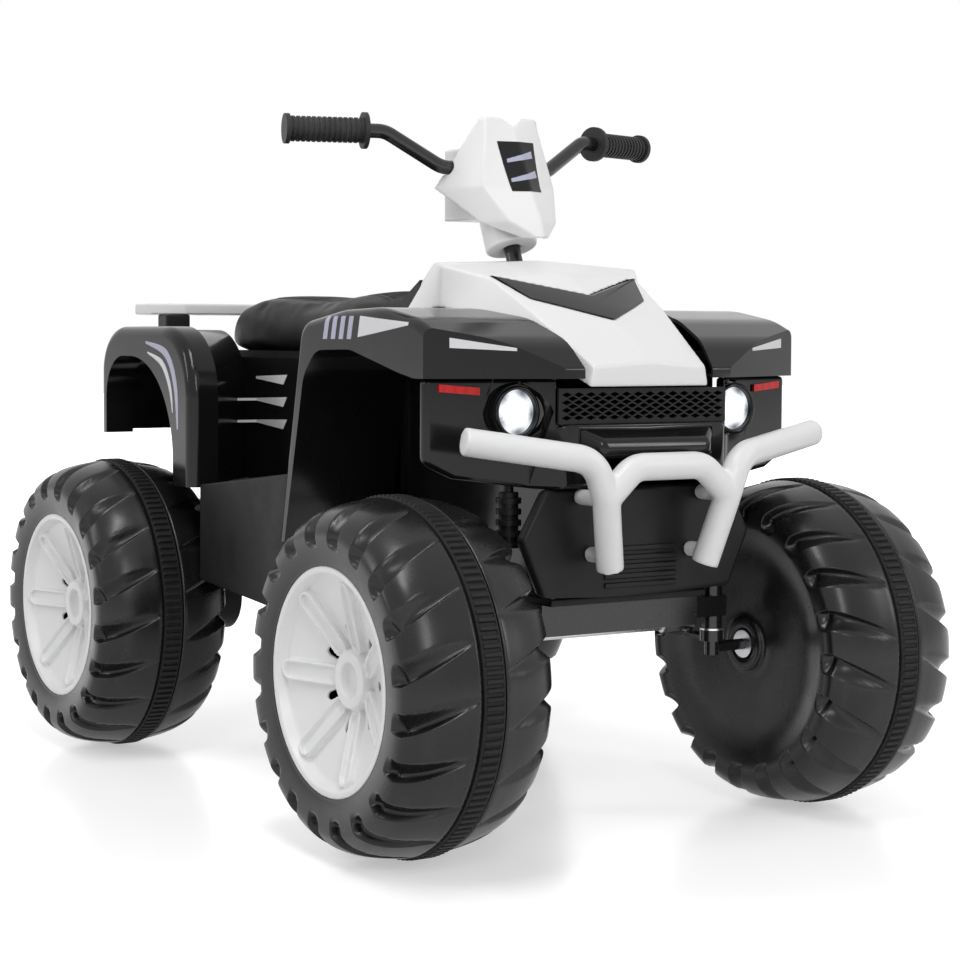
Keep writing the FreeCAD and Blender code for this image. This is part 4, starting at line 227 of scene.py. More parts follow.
def weigh_edges(mesh, width):
    """Gives each sharp edge a bevel weight, held down where its faces are narrow."""
    shape = bmesh.new()
    shape.from_mesh(mesh)
    weight = shape.edges.layers.float.new("bevel_weight_edge")
    for edge in shape.edges:
        if len(edge.link_faces) != 2 or edge.calc_face_angle(0.0) < SHARP_ANGLE:
            continue
        room = min(face_room(face, edge) for face in edge.link_faces)
        edge[weight] = min(1.0, NARROW_FACE_SHARE * room / width)
    shape.to_mesh(mesh)
    shape.free()


def copy_of(node, name, flat=True):
    """A copy of a CAD node with its loose triangles merged and, where flat, its flat faces joined."""
    piece = bpy.data.objects.new(name, NODES[node].data.copy())
    bpy.context.scene.collection.objects.link(piece)
    with editing(piece):
        bpy.ops.mesh.customdata_custom_splitnormals_clear()
        bpy.ops.mesh.remove_doubles(threshold=MERGE_DISTANCE)
        if flat:
            bpy.ops.mesh.dissolve_limited(angle_limit=FLAT_ANGLE)
    return piece


def stands_for(piece, node):
    """The piece rides on the node's body, takes its finish and is shown in its place."""
    slot = NODE_SLOTS[node]
    finish_with(piece, FINISHES[slot], slot)
    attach(piece, NODES[node]["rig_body"])
    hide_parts(node)


def hold_to(piece, node, reach):
    """Puts each point that has left the CAD surface by more than reach back on it."""
    for point in piece.data.vertices:
        found, spot, _, _ = NODES[node].closest_point_on_mesh(point.co)
        if found and (spot - point.co).length > reach:
            point.co = spot
    with editing(piece):
        bpy.ops.mesh.remove_doubles(threshold=MERGE_DISTANCE)
        bpy.ops.mesh.dissolve_degenerate(threshold=MERGE_DISTANCE)


def shade_evenly(piece):
    """Smooth shading between the sharp edges, led by the larger faces."""
    only(piece)
    bpy.ops.object.shade_smooth_by_angle(angle=SMOOTH_ANGLE)
    apply_modifier(piece, "Even shading", "WEIGHTED_NORMAL", keep_sharp=True)


def moulded_copy(node, edge):
    """A copy of a CAD node with its edges rounded, which stands for that node."""
    piece = copy_of(node, node + "_moulded")
    weigh_edges(piece.data, edge)
    apply_modifier(
        piece, "Rounding", "BEVEL", limit_method="WEIGHT", width=edge, segments=ROUNDING_SEGMENTS,
        use_clamp_overlap=False,
    )
    hold_to(piece, node, STRAY_SHARE * edge)
    shade_evenly(piece)
    stands_for(piece, node)


def shaded_copy(node):
    """A copy of a CAD node that keeps its edges, with even shading, which stands for that node."""
    piece = copy_of(node, node + "_moulded", flat=False)
    shade_evenly(piece)
    stands_for(piece, node)


def softened_copy(node, grain, passes, keep):
    """A copy of a CAD node with all its edges melted, as on a blow moulding."""
    piece = copy_of(node, node + "_soft")
    apply_modifier(piece, "Even mesh", "REMESH", mode="VOXEL", voxel_size=grain)
    apply_modifier(piece, "Melted edges", "SMOOTH", factor=MELT_FACTOR, iterations=passes)
    apply_modifier(piece, "Fewer faces", "DECIMATE", ratio=keep)
    bpy.ops.object.shade_smooth()
    return piece


def grid_patch(name, columns, rows, place):
    """A grid whose points are put in place by their shares along its two sides."""
    bpy.ops.mesh.primitive_grid_add(x_subdivisions=columns, y_subdivisions=rows, size=2.0)
    piece = bpy.context.active_object
    piece.name = name
    for point in piece.data.vertices:
        point.co = place((point.co.x + 1.0) / 2.0, (point.co.y + 1.0) / 2.0)
    return piece


def spun_round(piece, count, axis):
    """Repeats a patch round an axis through the origin and joins the repeats where they meet."""
    with editing(piece):
        bpy.ops.mesh.spin(
            steps=count - 1, dupli=True, angle=math.tau * (count - 1) / count, center=(0.0, 0.0, 0.0),
            axis=axis,
        )
        bpy.ops.mesh.select_all(action="SELECT")
        bpy.ops.mesh.remove_doubles(threshold=MERGE_DISTANCE)
        bpy.ops.mesh.normals_make_consistent(inside=False)


def placed_copy(pattern, name, place, mirrored=False):
    """A piece with a copy of the pattern's mesh, mirrored from left to right or not, at its place."""
    mesh = pattern.data.copy()
    flip = Matrix.Diagonal((-1.0 if mirrored else 1.0, 1.0, 1.0, 1.0))
    mesh.transform(Matrix.Translation(place) @ flip)
    if mirrored:
        mesh.flip_normals()
    piece = bpy.data.objects.new(name, mesh)
    bpy.context.scene.collection.objects.link(piece)
    return piece


def smooth(share):
    """A soft step from 0 to 1."""
    share = min(max(share, 0.0), 1.0)
    return share * share * (3.0 - 2.0 * share)


def blended(points, steps):
    """A smooth run of points through the given ones."""
    last = len(points) - 1
    path = []
    for i in range(last):
        before, start, end, after = (Vector(points[min(max(i + k, 0), last)]) for k in (-1, 0, 1, 2))
        for step in range(steps):
            t = step / steps
            bend = 2.0 * before - 5.0 * start + 4.0 * end - after
            twist = 3.0 * start - before - 3.0 * end + after
            path.append((2.0 * start + (end - before) * t + bend * t * t + twist * t ** 3) / 2.0)
    path.append(Vector(points[last]))
    return path


def finish_with(piece, material, slot):
    """Puts one material on the whole piece and names its slot."""
    piece.data.materials.clear()
    piece.data.materials.append(material)
    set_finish(piece, slot)


# Finishes


def new_finish(name):
    """A material with its node tree and its shader."""
    material = bpy.data.materials.new(name)
    material.use_nodes = True
    tree = material.node_tree
    return material, tree, tree.nodes["Principled BSDF"]


def add_node(tree, kind, inputs=None, **settings):
    """A node with its settings and its unlinked inputs."""
    node = tree.nodes.new(kind)
    for key, value in settings.items():
        setattr(node, key, value)
    for key, value in (inputs or {}).items():
        node.inputs[key].default_value = value
    return node


def object_noise(tree, scale, detail, roughness=0.5, stretch=(1.0, 1.0, 1.0)):
    """Noise that sits still on the object, stretched along its axes."""
    place = add_node(tree, "ShaderNodeTexCoord")
    mapping = add_node(tree, "ShaderNodeMapping", {"Scale": stretch})
    noise = add_node(tree, "ShaderNodeTexNoise", {"Scale": scale, "Detail": detail, "Roughness": roughness})
    tree.links.new(place.outputs["Object"], mapping.inputs["Vector"])
    tree.links.new(mapping.outputs["Vector"], noise.inputs["Vector"])
    return noise.outputs["Fac"]


def ranged(tree, value, low, high, start=0.35, end=0.65):
    """A value spread from start..end to low..high."""
    spread = add_node(
        tree, "ShaderNodeMapRange", {"From Min": start, "From Max": end, "To Min": low, "To Max": high}
    )
    tree.links.new(value, spread.inputs["Value"])
    return spread.outputs["Result"]


def tinted(tree, value, dark, light):
    """A colour between two, by a value."""
    mix = add_node(tree, "ShaderNodeMix", data_type="RGBA")
    mix.inputs["A"].default_value = (*dark, 1.0)
    mix.inputs["B"].default_value = (*light, 1.0)
    tree.links.new(value, mix.inputs["Factor"])
    return next(s for s in mix.outputs if s.type == "RGBA")


def bumped(tree, shader, height, strength, distance):
    """Raises the surface by a height field."""
    bump = add_node(tree, "ShaderNodeBump", {"Strength": strength, "Distance": distance})
    tree.links.new(height, bump.inputs["Height"])
    tree.links.new(bump.outputs["Normal"], shader.inputs["Normal"])


def two_toned(tree, shader, value, colour, lift):
    """Runs the shader's colour up to a lighter tone of it, by a value."""
    light = tuple(min(1.0, c * lift) for c in colour)
    tree.links.new(tinted(tree, value, colour, light), shader.inputs["Base Color"])


def glossed(tree, shader, value, low, high):
    """Runs the shader's roughness from low to high, by a noise."""
    tree.links.new(ranged(tree, value, low, high), shader.inputs["Roughness"])


def moulded(name, colour, rough, grain, depth, specular, lift):
    """Moulded plastic: faint flow marks in the colour, patchy gloss and a fine grain."""
    material, tree, shader = new_finish(name)
    shader.inputs["Specular IOR Level"].default_value = specular
    flow = object_noise(tree, scale=5.0, detail=4.0, roughness=0.6)
    two_toned(tree, shader, ranged(tree, flow, 0.0, 1.0), colour, lift)
    gloss = object_noise(tree, scale=22.0, detail=5.0, roughness=0.65)
    glossed(tree, shader, gloss, low=rough * 0.85, high=rough * 1.2)
    bumped(tree, shader, object_noise(tree, scale=grain, detail=2.0), strength=depth, distance=0.0002)
    return material


def rubber(name, colour, rough):
    """Matt rubber with a dusty bloom."""
    material, tree, shader = new_finish(name)
    shader.inputs["Specular IOR Level"].default_value = 0.2
    bloom = object_noise(tree, scale=35.0, detail=6.0, roughness=0.7)
    two_toned(tree, shader, ranged(tree, bloom, 0.0, 1.0), colour, lift=2.0)
    glossed(tree, shader, bloom, low=rough * 0.9, high=rough * 1.15)
    bumped(tree, shader, object_noise(tree, scale=1400.0, detail=2.0), strength=0.35, distance=0.0002)
    return material


def metal(name, colour, rough, metallic):
    """Plated or painted steel with fine drawn marks."""
    material, tree, shader = new_finish(name)
    shader.inputs["Metallic"].default_value = metallic
    marks = object_noise(tree, scale=300.0, detail=3.0, roughness=0.6, stretch=(1.0, 8.0, 8.0))
    two_toned(tree, shader, ranged(tree, marks, 0.0, 1.0), colour, lift=1.2)
    glossed(tree, shader, marks, low=rough * 0.8, high=rough * 1.3)
    bumped(tree, shader, marks, strength=0.1, distance=0.0001)
    return material


def leather(name, colour):
    """Grained artificial leather: cells between creases, with painted shade that darkens the creases and
    lightens the cells, and a patchy gloss.
    """
    material, tree, shader = new_finish(name)
    shader.inputs["Specular IOR Level"].default_value = 0.2
    place = add_node(tree, "ShaderNodeTexCoord")
    cells = add_node(tree, "ShaderNodeTexVoronoi", {"Scale": 420.0}, feature="DISTANCE_TO_EDGE")
    tree.links.new(place.outputs["Object"], cells.inputs["Vector"])
    # Painted shade: the creases between the grain's cells are darker in the colour and the cells lighter; the
    # same mask also gives the grain its relief through the bump.
    crease_relief_and_shade = ranged(tree, cells.outputs["Distance"], 0.0, 1.0, start=0.0, end=0.25)
    two_toned(tree, shader, crease_relief_and_shade, colour, lift=1.7)
    wear = object_noise(tree, scale=14.0, detail=4.0, roughness=0.6)
    glossed(tree, shader, wear, low=0.38, high=0.55)
    bumped(tree, shader, crease_relief_and_shade, strength=0.35, distance=0.0005)
    return material


def lamp_glow(name, colour):
    """Lit lens: as bright as the glow painted on its points, grey-blue where that is low."""
    material, tree, shader = new_finish(name)
    shader.inputs["Roughness"].default_value = 0.08
    shader.inputs["Base Color"].default_value = (0.3, 0.33, 0.38, 1.0)
    shader.inputs["Emission Color"].default_value = (*colour, 1.0)
    glow = add_node(tree, "ShaderNodeAttribute", attribute_name="glow")
    level = ranged(tree, glow.outputs["Fac"], low=0.05, high=1.3, start=0.0, end=1.0)
    tree.links.new(level, shader.inputs["Emission Strength"])
    return material


def clear_red(name, colour):
    """Red reflector with a grid of prisms, each with a painted glint that lightens its middle."""
    material, tree, shader = new_finish(name)
    shader.inputs["Roughness"].default_value = 0.15
    shader.inputs["Specular IOR Level"].default_value = 0.25
    place = add_node(tree, "ShaderNodeTexCoord")
    prisms = add_node(tree, "ShaderNodeTexVoronoi", {"Scale": 420.0, "Randomness": 0.0})
    tree.links.new(place.outputs["Object"], prisms.inputs["Vector"])
    # Painted glint: each prism is lighter in its middle than at its border in the colour; the prism grid's
    # relief comes from the bump below.
    prism_glint = ranged(tree, prisms.outputs["Distance"], low=1.0, high=0.0, start=0.1, end=0.7)
    two_toned(tree, shader, prism_glint, colour, lift=1.6)
    bumped(tree, shader, prisms.outputs["Distance"], strength=0.4, distance=0.0006)
    return material


# Each plastic: slot, material, colour, roughness, scale and depth of its grain, specular level, and how much
# lighter its flow marks are
PLASTICS = (
    ("gloss_black", "gloss_black_plastic", "gloss_black", 0.14, 700.0, 0.03, 0.27, 1.5),
    ("satin_black", "satin_black_plastic", "satin_black", 0.4, 1100.0, 0.3, 0.18, 1.5),
    ("white_plastic", "white_plastic", "white", 0.33, 900.0, 0.08, 0.4, 1.02),
    ("tyre", "tyre_plastic", "tyre", 0.26, 800.0, 0.15, 0.34, 1.5),
    ("pale_stripe", "pale_stripe", "pale_stripe", 0.35, 900.0, 0.05, 0.4, 1.03),
    ("lilac_stripe", "lilac_stripe", "lilac_stripe", 0.35, 900.0, 0.05, 0.4, 1.05),
    ("button_red", "button_red", "reflector", 0.3, 900.0, 0.05, 0.4, 1.5),
)
# Each rubber: slot, material, colour and roughness
RUBBERS = (
    ("band", "band_rubber", "band", 0.55),
    ("grip_rubber", "grip_rubber", "grip", 0.5),
    ("thread", "seat_thread", "thread", 0.6),
)
# Each metal: slot, material, colour, roughness, and 1 where it is bare
METALS = (
    ("steel", "plated_steel", "steel", 0.28, 1.0),
    ("black_metal", "painted_steel", "painted", 0.22, 0.0),
)


class QUAD_OT_finishes(bpy.types.Operator):
    """Makes the finishes and puts them on the CAD nodes"""

    bl_idname = "quad.finishes"
    bl_label = "Finishes"

    def execute(self, context):
        tone = colours()
        for make, table in ((moulded, PLASTICS), (rubber, RUBBERS), (metal, METALS)):
            for slot, name, colour, *look in table:
                FINISHES[slot] = make(name, getattr(tone, colour)[:], *look)
        FINISHES["seat_leather"] = leather("seat_leather", tone.leather[:])
        FINISHES["lens"] = lamp_glow("lamp_lens", tone.lamp[:])
        FINISHES["reflector_red"] = clear_red("reflector_red", tone.reflector[:])
        for name, node in NODES.items():
            slot = node.material_slots[0].material.name.split(".")[0]
            NODE_SLOTS[name] = slot
            for place in node.material_slots:
                place.material = FINISHES[slot]
        return {"FINISHED"}


# Shells

SHELLS = ("front_mask", "skid_plate")
AS_DRAWN = ("front_body", "rear_body", "dash_console", "grip_left", "grip_right", "handlebar")
PLATES = (
    "column_shroud", "foot_well_left", "foot_well_right", "side_panel_left", "side_panel_right",
    "rear_rack", "rack_posts", "scoop_insert", "chassis_tray", "gearbox_left", "gearbox_right", "pedal",
)
BLOWN = ("brush_guard", "bar_cover_front", "bar_cover_back", "hood_cover")


class QUAD_OT_shells(bpy.types.Operator):
    """Rounds the edges of the moulded shells and plates"""

    bl_idname = "quad.shells"
    bl_label = "Shells"

    def execute(self, context):
        for node in SHELLS:
            moulded_copy(node, sizes().shell_edge)
        for node in PLATES:
            moulded_copy(node, sizes().plate_edge)
        for node in AS_DRAWN:
            shaded_copy(node)
        for node in BLOWN:
            stands_for(softened_copy(node, sizes().blown_grain, passes=8, keep=0.5), node)
        return {"FINISHED"}


# Wheels

WHEEL_AXIS = (1.0, 0.0, 0.0)
LUGS = 20
CRISP_SLANT_SHARE = 0.67
GROOVE_WIDTH_SHARE = 0.49
GROOVE_FLARE = 0.6
GROOVE_DEEPENING = 0.8
GROOVE_FLOOR_CURVE = 2.4
GROOVE_TIP_SHARE = 0.4
GROOVE_END_PARTS = 3.0
CRISP_WALL_SHARE = 0.06
PITCH_SHARES = (0.0, 0.012, 0.035, CRISP_WALL_SHARE, 0.12, 0.18, 0.25, 0.32, 0.38, 0.44, 0.465, 0.488)
SHOULDER_POINT = 7
TREAD_SHARES = (
    (0.8, 0.625), (0.93, 0.635), (0.945, 0.648), (0.965, 0.685), (0.985, 0.735), (0.996, 0.78), (0.996, 0.81),
    (0.985, 0.84), (0.95, 0.868), (0.885, 0.9), (0.79, 0.93), (0.65, 0.958), (0.48, 0.978), (0.31, 0.991),
    (0.165, 0.999), (0.15, 0.97),
)
BACK_SHARES = (
    (-0.98, 0.735), (-0.95, 0.69), (-0.91, 0.63), (-0.88, 0.55), (-0.865, 0.42), (-0.86, 0.28),
    (-0.86, 0.175), (-0.92, 0.16), (-0.92, 0.1), (-0.8, 0.09),
)
PATH_STEPS = 3


def groove_depth(along, past, share):
    """Depth of a tread groove, at a share of the pitch from its crisp edge.

    along runs from 0 at the band to 1 at the shoulder, and past is the way down the side wall.
    """
    along = min(along, 1.0)
    width = GROOVE_WIDTH_SHARE * along ** GROOVE_FLARE
    if not 0.0 < share < width:
        return 0.0
    across = share / width
    wall = smooth(share / CRISP_WALL_SHARE)
    floor = 1.0 - across ** GROOVE_FLOOR_CURVE
    reach = sizes().groove_reach * (1.0 - (across - GROOVE_TIP_SHARE) ** 2)
    end = smooth((reach - past) / (reach / GROOVE_END_PARTS))
    return sizes().groove_depth * along ** GROOVE_DEEPENING * wall * floor * end


def tread_rows(half_width, radius):
    """The tyre's section from its outer bead round to its hub, row by row.

    A row has its place, its outward direction, its side, its share of the way from the band to the shoulder,
    and the way that it lies past the shoulder.
    """
    tread = list(TREAD_SHARES)
    other = [(-x, r) for x, r in reversed(tread[SHOULDER_POINT - 2:])]
    points = [(x * half_width, r * radius) for x, r in tread + other + list(BACK_SHARES)]
    path = blended(points, PATH_STEPS)
    edge = (len(tread) - 2) * PATH_STEPS
    far_edge = (len(tread) + 1) * PATH_STEPS
    middle = (edge + far_edge) / 2
    shoulder = SHOULDER_POINT * PATH_STEPS
    ways = [0.0]
    for a, b in zip(path, path[1:]):
        ways.append(ways[-1] + (b - a).length)
    width = ways[edge] - ways[shoulder]
    rows = []
    for i, place in enumerate(path):
        ahead = path[min(i + 1, len(path) - 1)] - path[max(i - 1, 0)]
        outward = Vector((ahead.y, -ahead.x)).normalized()
        side = 1.0 if i < middle else -1.0
        way = ways[edge] - ways[i] if side > 0.0 else ways[i] - ways[far_edge]
        rows.append((place, outward, side, max(way, 0.0) / width, max(way - width, 0.0)))
    return rows


def make_tyre(half_width, radius):
    """One tyre about the origin with its outer side towards +X: slanted lugs pressed into a drum."""
    rows = tread_rows(half_width, radius)
    shares = PITCH_SHARES + tuple(0.5 + s for s in PITCH_SHARES) + (1.0,)
    pitch = math.tau / LUGS

    def place(u, v):
        point, outward, side, along, past = rows[round(v * (len(rows) - 1))]
        share = shares[round(u * (len(shares) - 1))]
        from_crisp = share if side > 0.0 else 0.5 - share
        point = point - outward * groove_depth(along, past, from_crisp)
        angle = pitch * (share - side * CRISP_SLANT_SHARE * min(along, 1.0))
        return (point.x, -point.y * math.cos(angle), point.y * math.sin(angle))

    tyre = grid_patch("tyre_pattern", len(shares) - 1, len(rows) - 1, place)
    spun_round(tyre, LUGS, WHEEL_AXIS)
    bpy.ops.object.shade_smooth()
    return tyre


BAND_SHARES = (
    (-1.0, 0.955), (-1.0, 0.984), (-0.94, 0.991), (-0.82, 0.991), (-0.74, 1.0), (0.74, 1.0), (0.82, 0.991),
    (0.94, 0.991), (1.0, 0.984), (1.0, 0.955),
)
RIB_SHARES = (0.0, 0.12, 0.5, 0.62, 1.0)
LOW_RIB_CORNERS = (0, 3, 4)
BAND_SMOOTH_ANGLE = math.radians(30.0)


def make_band(half_width, radius):
    """One rubber band about the origin, with cross ribs between two borders."""
    pitch = math.tau / sizes().band_ribs

    def place(u, v):
        across, out = BAND_SHARES[round(v * (len(BAND_SHARES) - 1))]
        corner = round(u * (len(RIB_SHARES) - 1))
        low = corner in LOW_RIB_CORNERS and out == 1.0
        reach = radius * out - (sizes().band_rib if low else 0.0)
        angle = pitch * RIB_SHARES[corner]
        return (across * half_width, -reach * math.cos(angle), reach * math.sin(angle))

    band = grid_patch("band_pattern", len(RIB_SHARES) - 1, len(BAND_SHARES) - 1, place)
    spun_round(band, sizes().band_ribs, WHEEL_AXIS)
    bpy.ops.object.shade_smooth_by_angle(angle=BAND_SMOOTH_ANGLE)
    return band


def middle_of(node):
    """The middle of a CAD node's box."""
    low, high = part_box(node)
    return (Vector(low) + Vector(high)) / 2.0


def half_of(node):
    """Half the size of a CAD node's box."""
    low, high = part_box(node)
    return (Vector(high) - Vector(low)) / 2.0


def fit_wheels(pattern, kind):
    """Puts a copy of the pattern, made about the origin for the left side, in each wheel."""
    for wheel in WHEELS:
        node = kind + "_" + wheel
        piece = placed_copy(pattern, node + "_moulded", middle_of(node), wheel.endswith("right"))
        stands_for(piece, node)
    bpy.data.objects.remove(pattern)


class QUAD_OT_wheels(bpy.types.Operator):
    """Makes the lugged tyres, their ribbed bands and the soft-edged rims"""

    bl_idname = "quad.wheels"
    bl_label = "Wheels"

    def execute(self, context):
        half = half_of("tyre_front_left")
        fit_wheels(make_tyre(half.x, half.y), "tyre")
        half = half_of("band_front_left")
        fit_wheels(make_band(half.x, half.y), "band")
        rim = softened_copy("rim_front_left", sizes().rim_grain, passes=3, keep=0.35)
        rim.data.transform(Matrix.Translation(-middle_of("rim_front_left")))
        fit_wheels(rim, "rim")
        return {"FINISHED"}


# Seat

SWELL_FRAMES = 20
SEAT_PRESSURE = 4.0
SEAT_MELT_PASSES = 8
DROP_HEIGHT = 2.0
PANEL_WIDTH_SHARE = 0.46
PANEL_FRONT_SHARE = 0.1
PANEL_REAR_SHARE = 0.13
PANEL_COLUMNS = 14
ROWS_PER_RIB = 6
SIDE_HEM_STEEPNESS = 6.0
END_HEM_STEEPNESS = 60.0
RIB_FOOT_SHARE = 0.3
SEAM_STITCHES = 1.2
STITCH_PITCH = 1.5
STITCH_SHAPE = (0.22, 0.5, 0.18)


def stuffed(piece, pressure, cap):
    """Swells a closed cushion with Cloth, and holds each point near its start."""
    before = [point.co.copy() for point in piece.data.vertices]
    cloth = piece.modifiers.new("Stuffing", "CLOTH")
    cloth.settings.use_pressure = True
    cloth.settings.uniform_pressure_force = pressure
    cloth.settings.effector_weights.gravity = 0.0
    scene = bpy.context.scene
    for step in range(1, SWELL_FRAMES + 1):
        scene.frame_set(step)
    only(piece)
    bpy.ops.object.modifier_apply(modifier=cloth.name)
    scene.frame_set(1)
    for point, start in zip(piece.data.vertices, before):
        move = point.co - start
        if move.length > cap:
            point.co = start + move * (cap / move.length)


def drop_on(target, x, y, lift):
    """The place on the target below a point, lifted off its surface."""
    hit, place, up, _ = target.ray_cast(Vector((x, y, DROP_HEIGHT)), Vector((0.0, 0.0, -1.0)))
    if not hit:
        raise RuntimeError("nothing lies below %.3f, %.3f" % (x, y))
    return place + up * lift


class QUAD_OT_seat(bpy.types.Operator):
    """Stuffs the seat cushion and sews its ribbed top panel on"""

    bl_idname = "quad.seat"
    bl_label = "Seat"

    def execute(self, context):
        low, high = (Vector(p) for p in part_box("seat_cushion"))
        seat = copy_of("seat_cushion", "seat_cushion_stuffed")
        with editing(seat):
            bpy.ops.transform.shrink_fatten(value=-sizes().seat_shrink)
        apply_modifier(seat, "Even mesh", "REMESH", mode="VOXEL", voxel_size=sizes().seat_grain)
        apply_modifier(seat, "Soft channels", "SMOOTH", factor=MELT_FACTOR, iterations=SEAT_MELT_PASSES)
        stuffed(seat, SEAT_PRESSURE, sizes().seat_swell)
        apply_modifier(seat, "Fine mesh", "SUBSURF", levels=1, render_levels=1)
        for point in seat.data.vertices:
            point.co.z = max(point.co.z, low.z)
        bpy.ops.object.shade_smooth()
        stands_for(seat, "seat_cushion")
        self.sew_panel(seat, low, high)
        return {"FINISHED"}

    def sew_panel(self, seat, low, high):
        """Lays the ribbed panel on the crown and runs two seams beside it."""
        half = PANEL_WIDTH_SHARE * (high.x - low.x) / 2.0
        front = low.y + PANEL_FRONT_SHARE * (high.y - low.y)
        rear = high.y - PANEL_REAR_SHARE * (high.y - low.y)
        ribs = round((rear - front) / sizes().seat_rib_pitch)

        def place(u, v):
            across = 2.0 * u - 1.0
            side_hem = smooth((1.0 - abs(across)) * SIDE_HEM_STEEPNESS)
            end_hem = smooth(min(v, 1.0 - v) * END_HEM_STEEPNESS)
            wave = 0.5 - 0.5 * math.cos(math.tau * v * ribs)
            lift = RIB_FOOT_SHARE + (1.0 - RIB_FOOT_SHARE) * wave
            height = lift * min(side_hem, end_hem) * sizes().seat_rib
            return drop_on(seat, half * across, front + v * (rear - front), height)

        panel = grid_patch("seat_ribbed_panel", PANEL_COLUMNS, ROWS_PER_RIB * ribs, place)
        apply_modifier(panel, "Cover", "SOLIDIFY", thickness=sizes().seat_rib, offset=-1.0)
        bpy.ops.object.shade_smooth()
        finish_with(panel, FINISHES["seat_leather"], "seat_leather")
        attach(panel, NODES["seat_cushion"]["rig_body"])
        seam = half + SEAM_STITCHES * sizes().stitch
        count = round((rear - front) / (STITCH_PITCH * sizes().stitch))
        spots = []
        for side in (-1.0, 1.0):
            for i in range(count):
                spots.append((side * seam, front + (i + 0.5) * (rear - front) / count))
        self.sew(seat, spots)

    def sew(self, seat, spots):
        """One thread piece with a stitch at each spot, along the seat."""
        bpy.ops.mesh.primitive_uv_sphere_add(segments=8, ring_count=5, radius=1.0)
        thread = bpy.context.active_object
        thread.name = "seat_stitches"
        ball = [point.co.copy() for point in thread.data.vertices]
        faces = sorted(tuple(face.vertices) for face in thread.data.polygons)
        size = Vector(STITCH_SHAPE) * sizes().stitch
        points = []
        polygons = []
        for x, y in spots:
            spot = drop_on(seat, x, y, 0.0)
            first = len(points)
            points.extend(spot + size * p for p in ball)
            polygons.extend(tuple(first + i for i in face) for face in faces)
        thread.data.clear_geometry()
        thread.data.from_pydata(points, [], polygons)
        only(thread)
        bpy.ops.object.shade_smooth()
        finish_with(thread, FINISHES["thread"], "seat_leather")
        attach(thread, NODES["seat_cushion"]["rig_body"])


# Lamps

LENS_AXIS = (0.0, 1.0, 0.0)
LENS_RINGS = 16
LENS_FLUTES = 24
FLUTE_COLUMNS = 6
FLUTE_HEIGHT = 0.0009
FLUTE_INNER_END = 0.4
FLUTE_INNER_STEEPNESS = 2.0
FLUTE_OUTER_STEEPNESS = 8.0
LENS_FIT = 0.995
DOME_DEPTH_SHARE = 0.9
DOME_CURVE = 2.2
GLOW_CELLS = 5.0
GLOW_TURN = 0.6
GLOW_CORE_SHARE = 0.45
GLOW_STEEPNESS = 2.2
GLOW_LOSS = 0.35
GLOW_CELL_LOSS = 0.6
RIM_RADIUS_SHARE = 1.07
RIM_TUBE_SHARE = 0.085


def make_lens(radius, depth):
    """One lens about the origin, bulged towards -Y and fluted round its border."""
    step = math.tau / LENS_FLUTES

    def place(u, v):
        angle = u * step
        out = v * radius * LENS_FIT
        dome = depth * DOME_DEPTH_SHARE * (v ** DOME_CURVE)
        inner_end = smooth(v * FLUTE_INNER_STEEPNESS - FLUTE_INNER_END)
        outer_end = smooth((1.0 - v) * FLUTE_OUTER_STEEPNESS)
        flute = FLUTE_HEIGHT * math.sin(math.pi * u) * inner_end * outer_end
        return (out * math.cos(angle), dome + flute, out * math.sin(angle))

    lens = grid_patch("headlight_lens_pattern", FLUTE_COLUMNS, LENS_RINGS, place)
    spun_round(lens, LENS_FLUTES, LENS_AXIS)
    bpy.ops.object.shade_smooth()
    return lens


def paint_glow(lens, radius):
    """Paints the glow on the lens: full in the middle, broken into cells towards its border."""
    glow = lens.data.color_attributes.new("glow", "FLOAT_COLOR", "POINT")
    for point, value in zip(lens.data.vertices, glow.data):
        out = math.hypot(point.co.x, point.co.z) / radius
        turn = math.atan2(point.co.z, point.co.x)
        cell = 0.5 + 0.5 * math.cos(GLOW_CELLS * turn + GLOW_TURN)
        loss = GLOW_LOSS + GLOW_CELL_LOSS * cell
        level = 1.0 - smooth((out - GLOW_CORE_SHARE) * GLOW_STEEPNESS) * loss
        value.color = (level, level, level, 1.0)


def make_lamp_rim(radius):
    """One round rim about the origin, level with the front of the lens."""
    bpy.ops.mesh.primitive_torus_add(
        major_segments=72, minor_segments=14, major_radius=radius * RIM_RADIUS_SHARE,
        minor_radius=radius * RIM_TUBE_SHARE, rotation=(math.pi / 2.0, 0.0, 0.0),
    )
    rim = bpy.context.active_object
    bpy.ops.object.transform_apply(location=False, rotation=True, scale=False)
    bpy.ops.object.shade_smooth()
    return rim


class QUAD_OT_lamps(bpy.types.Operator):
    """Makes the lit lenses with their light cells, and dark rims round them"""

    bl_idname = "quad.lamps"
    bl_label = "Lamps"

    def execute(self, context):
        low, high = (Vector(p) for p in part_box("headlight_lenses"))
        radius = (high.z - low.z) / 2.0
        centre = Vector((high.x - radius, low.y, (low.z + high.z) / 2.0))
        lens = make_lens(radius, high.y - low.y)
        paint_glow(lens, radius)
        rim = make_lamp_rim(radius)
        for pattern, name, slot in ((lens, "headlight_lens", "lens"), (rim, "headlight_rim", "gloss_black")):
            for side, word in SIDES:
                piece = placed_copy(pattern, name + "_" + word, (side * centre.x, centre.y, centre.z))
                finish_with(piece, FINISHES[slot], slot)
                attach(piece, NODES["headlight_lenses"]["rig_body"])
                if slot == "lens":
                    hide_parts("headlight_lenses")
            bpy.data.objects.remove(pattern)
        return {"FINISHED"}


# Stripes

BACK = Vector((0.0, 1.0, 0.0))
RIGHT = Vector((-1.0, 0.0, 0.0))
STRIPE_STEPS = 24
STRIPE_ROWS = 8
# Where a stripe starts on its way to the shell: beside the fenders and the tub, before the nose and the cover
FENDER_START_X = 0.3
TUB_START_X = 0.15
NOSE_START_Y = -0.5
COVER_START_Y = -0.4
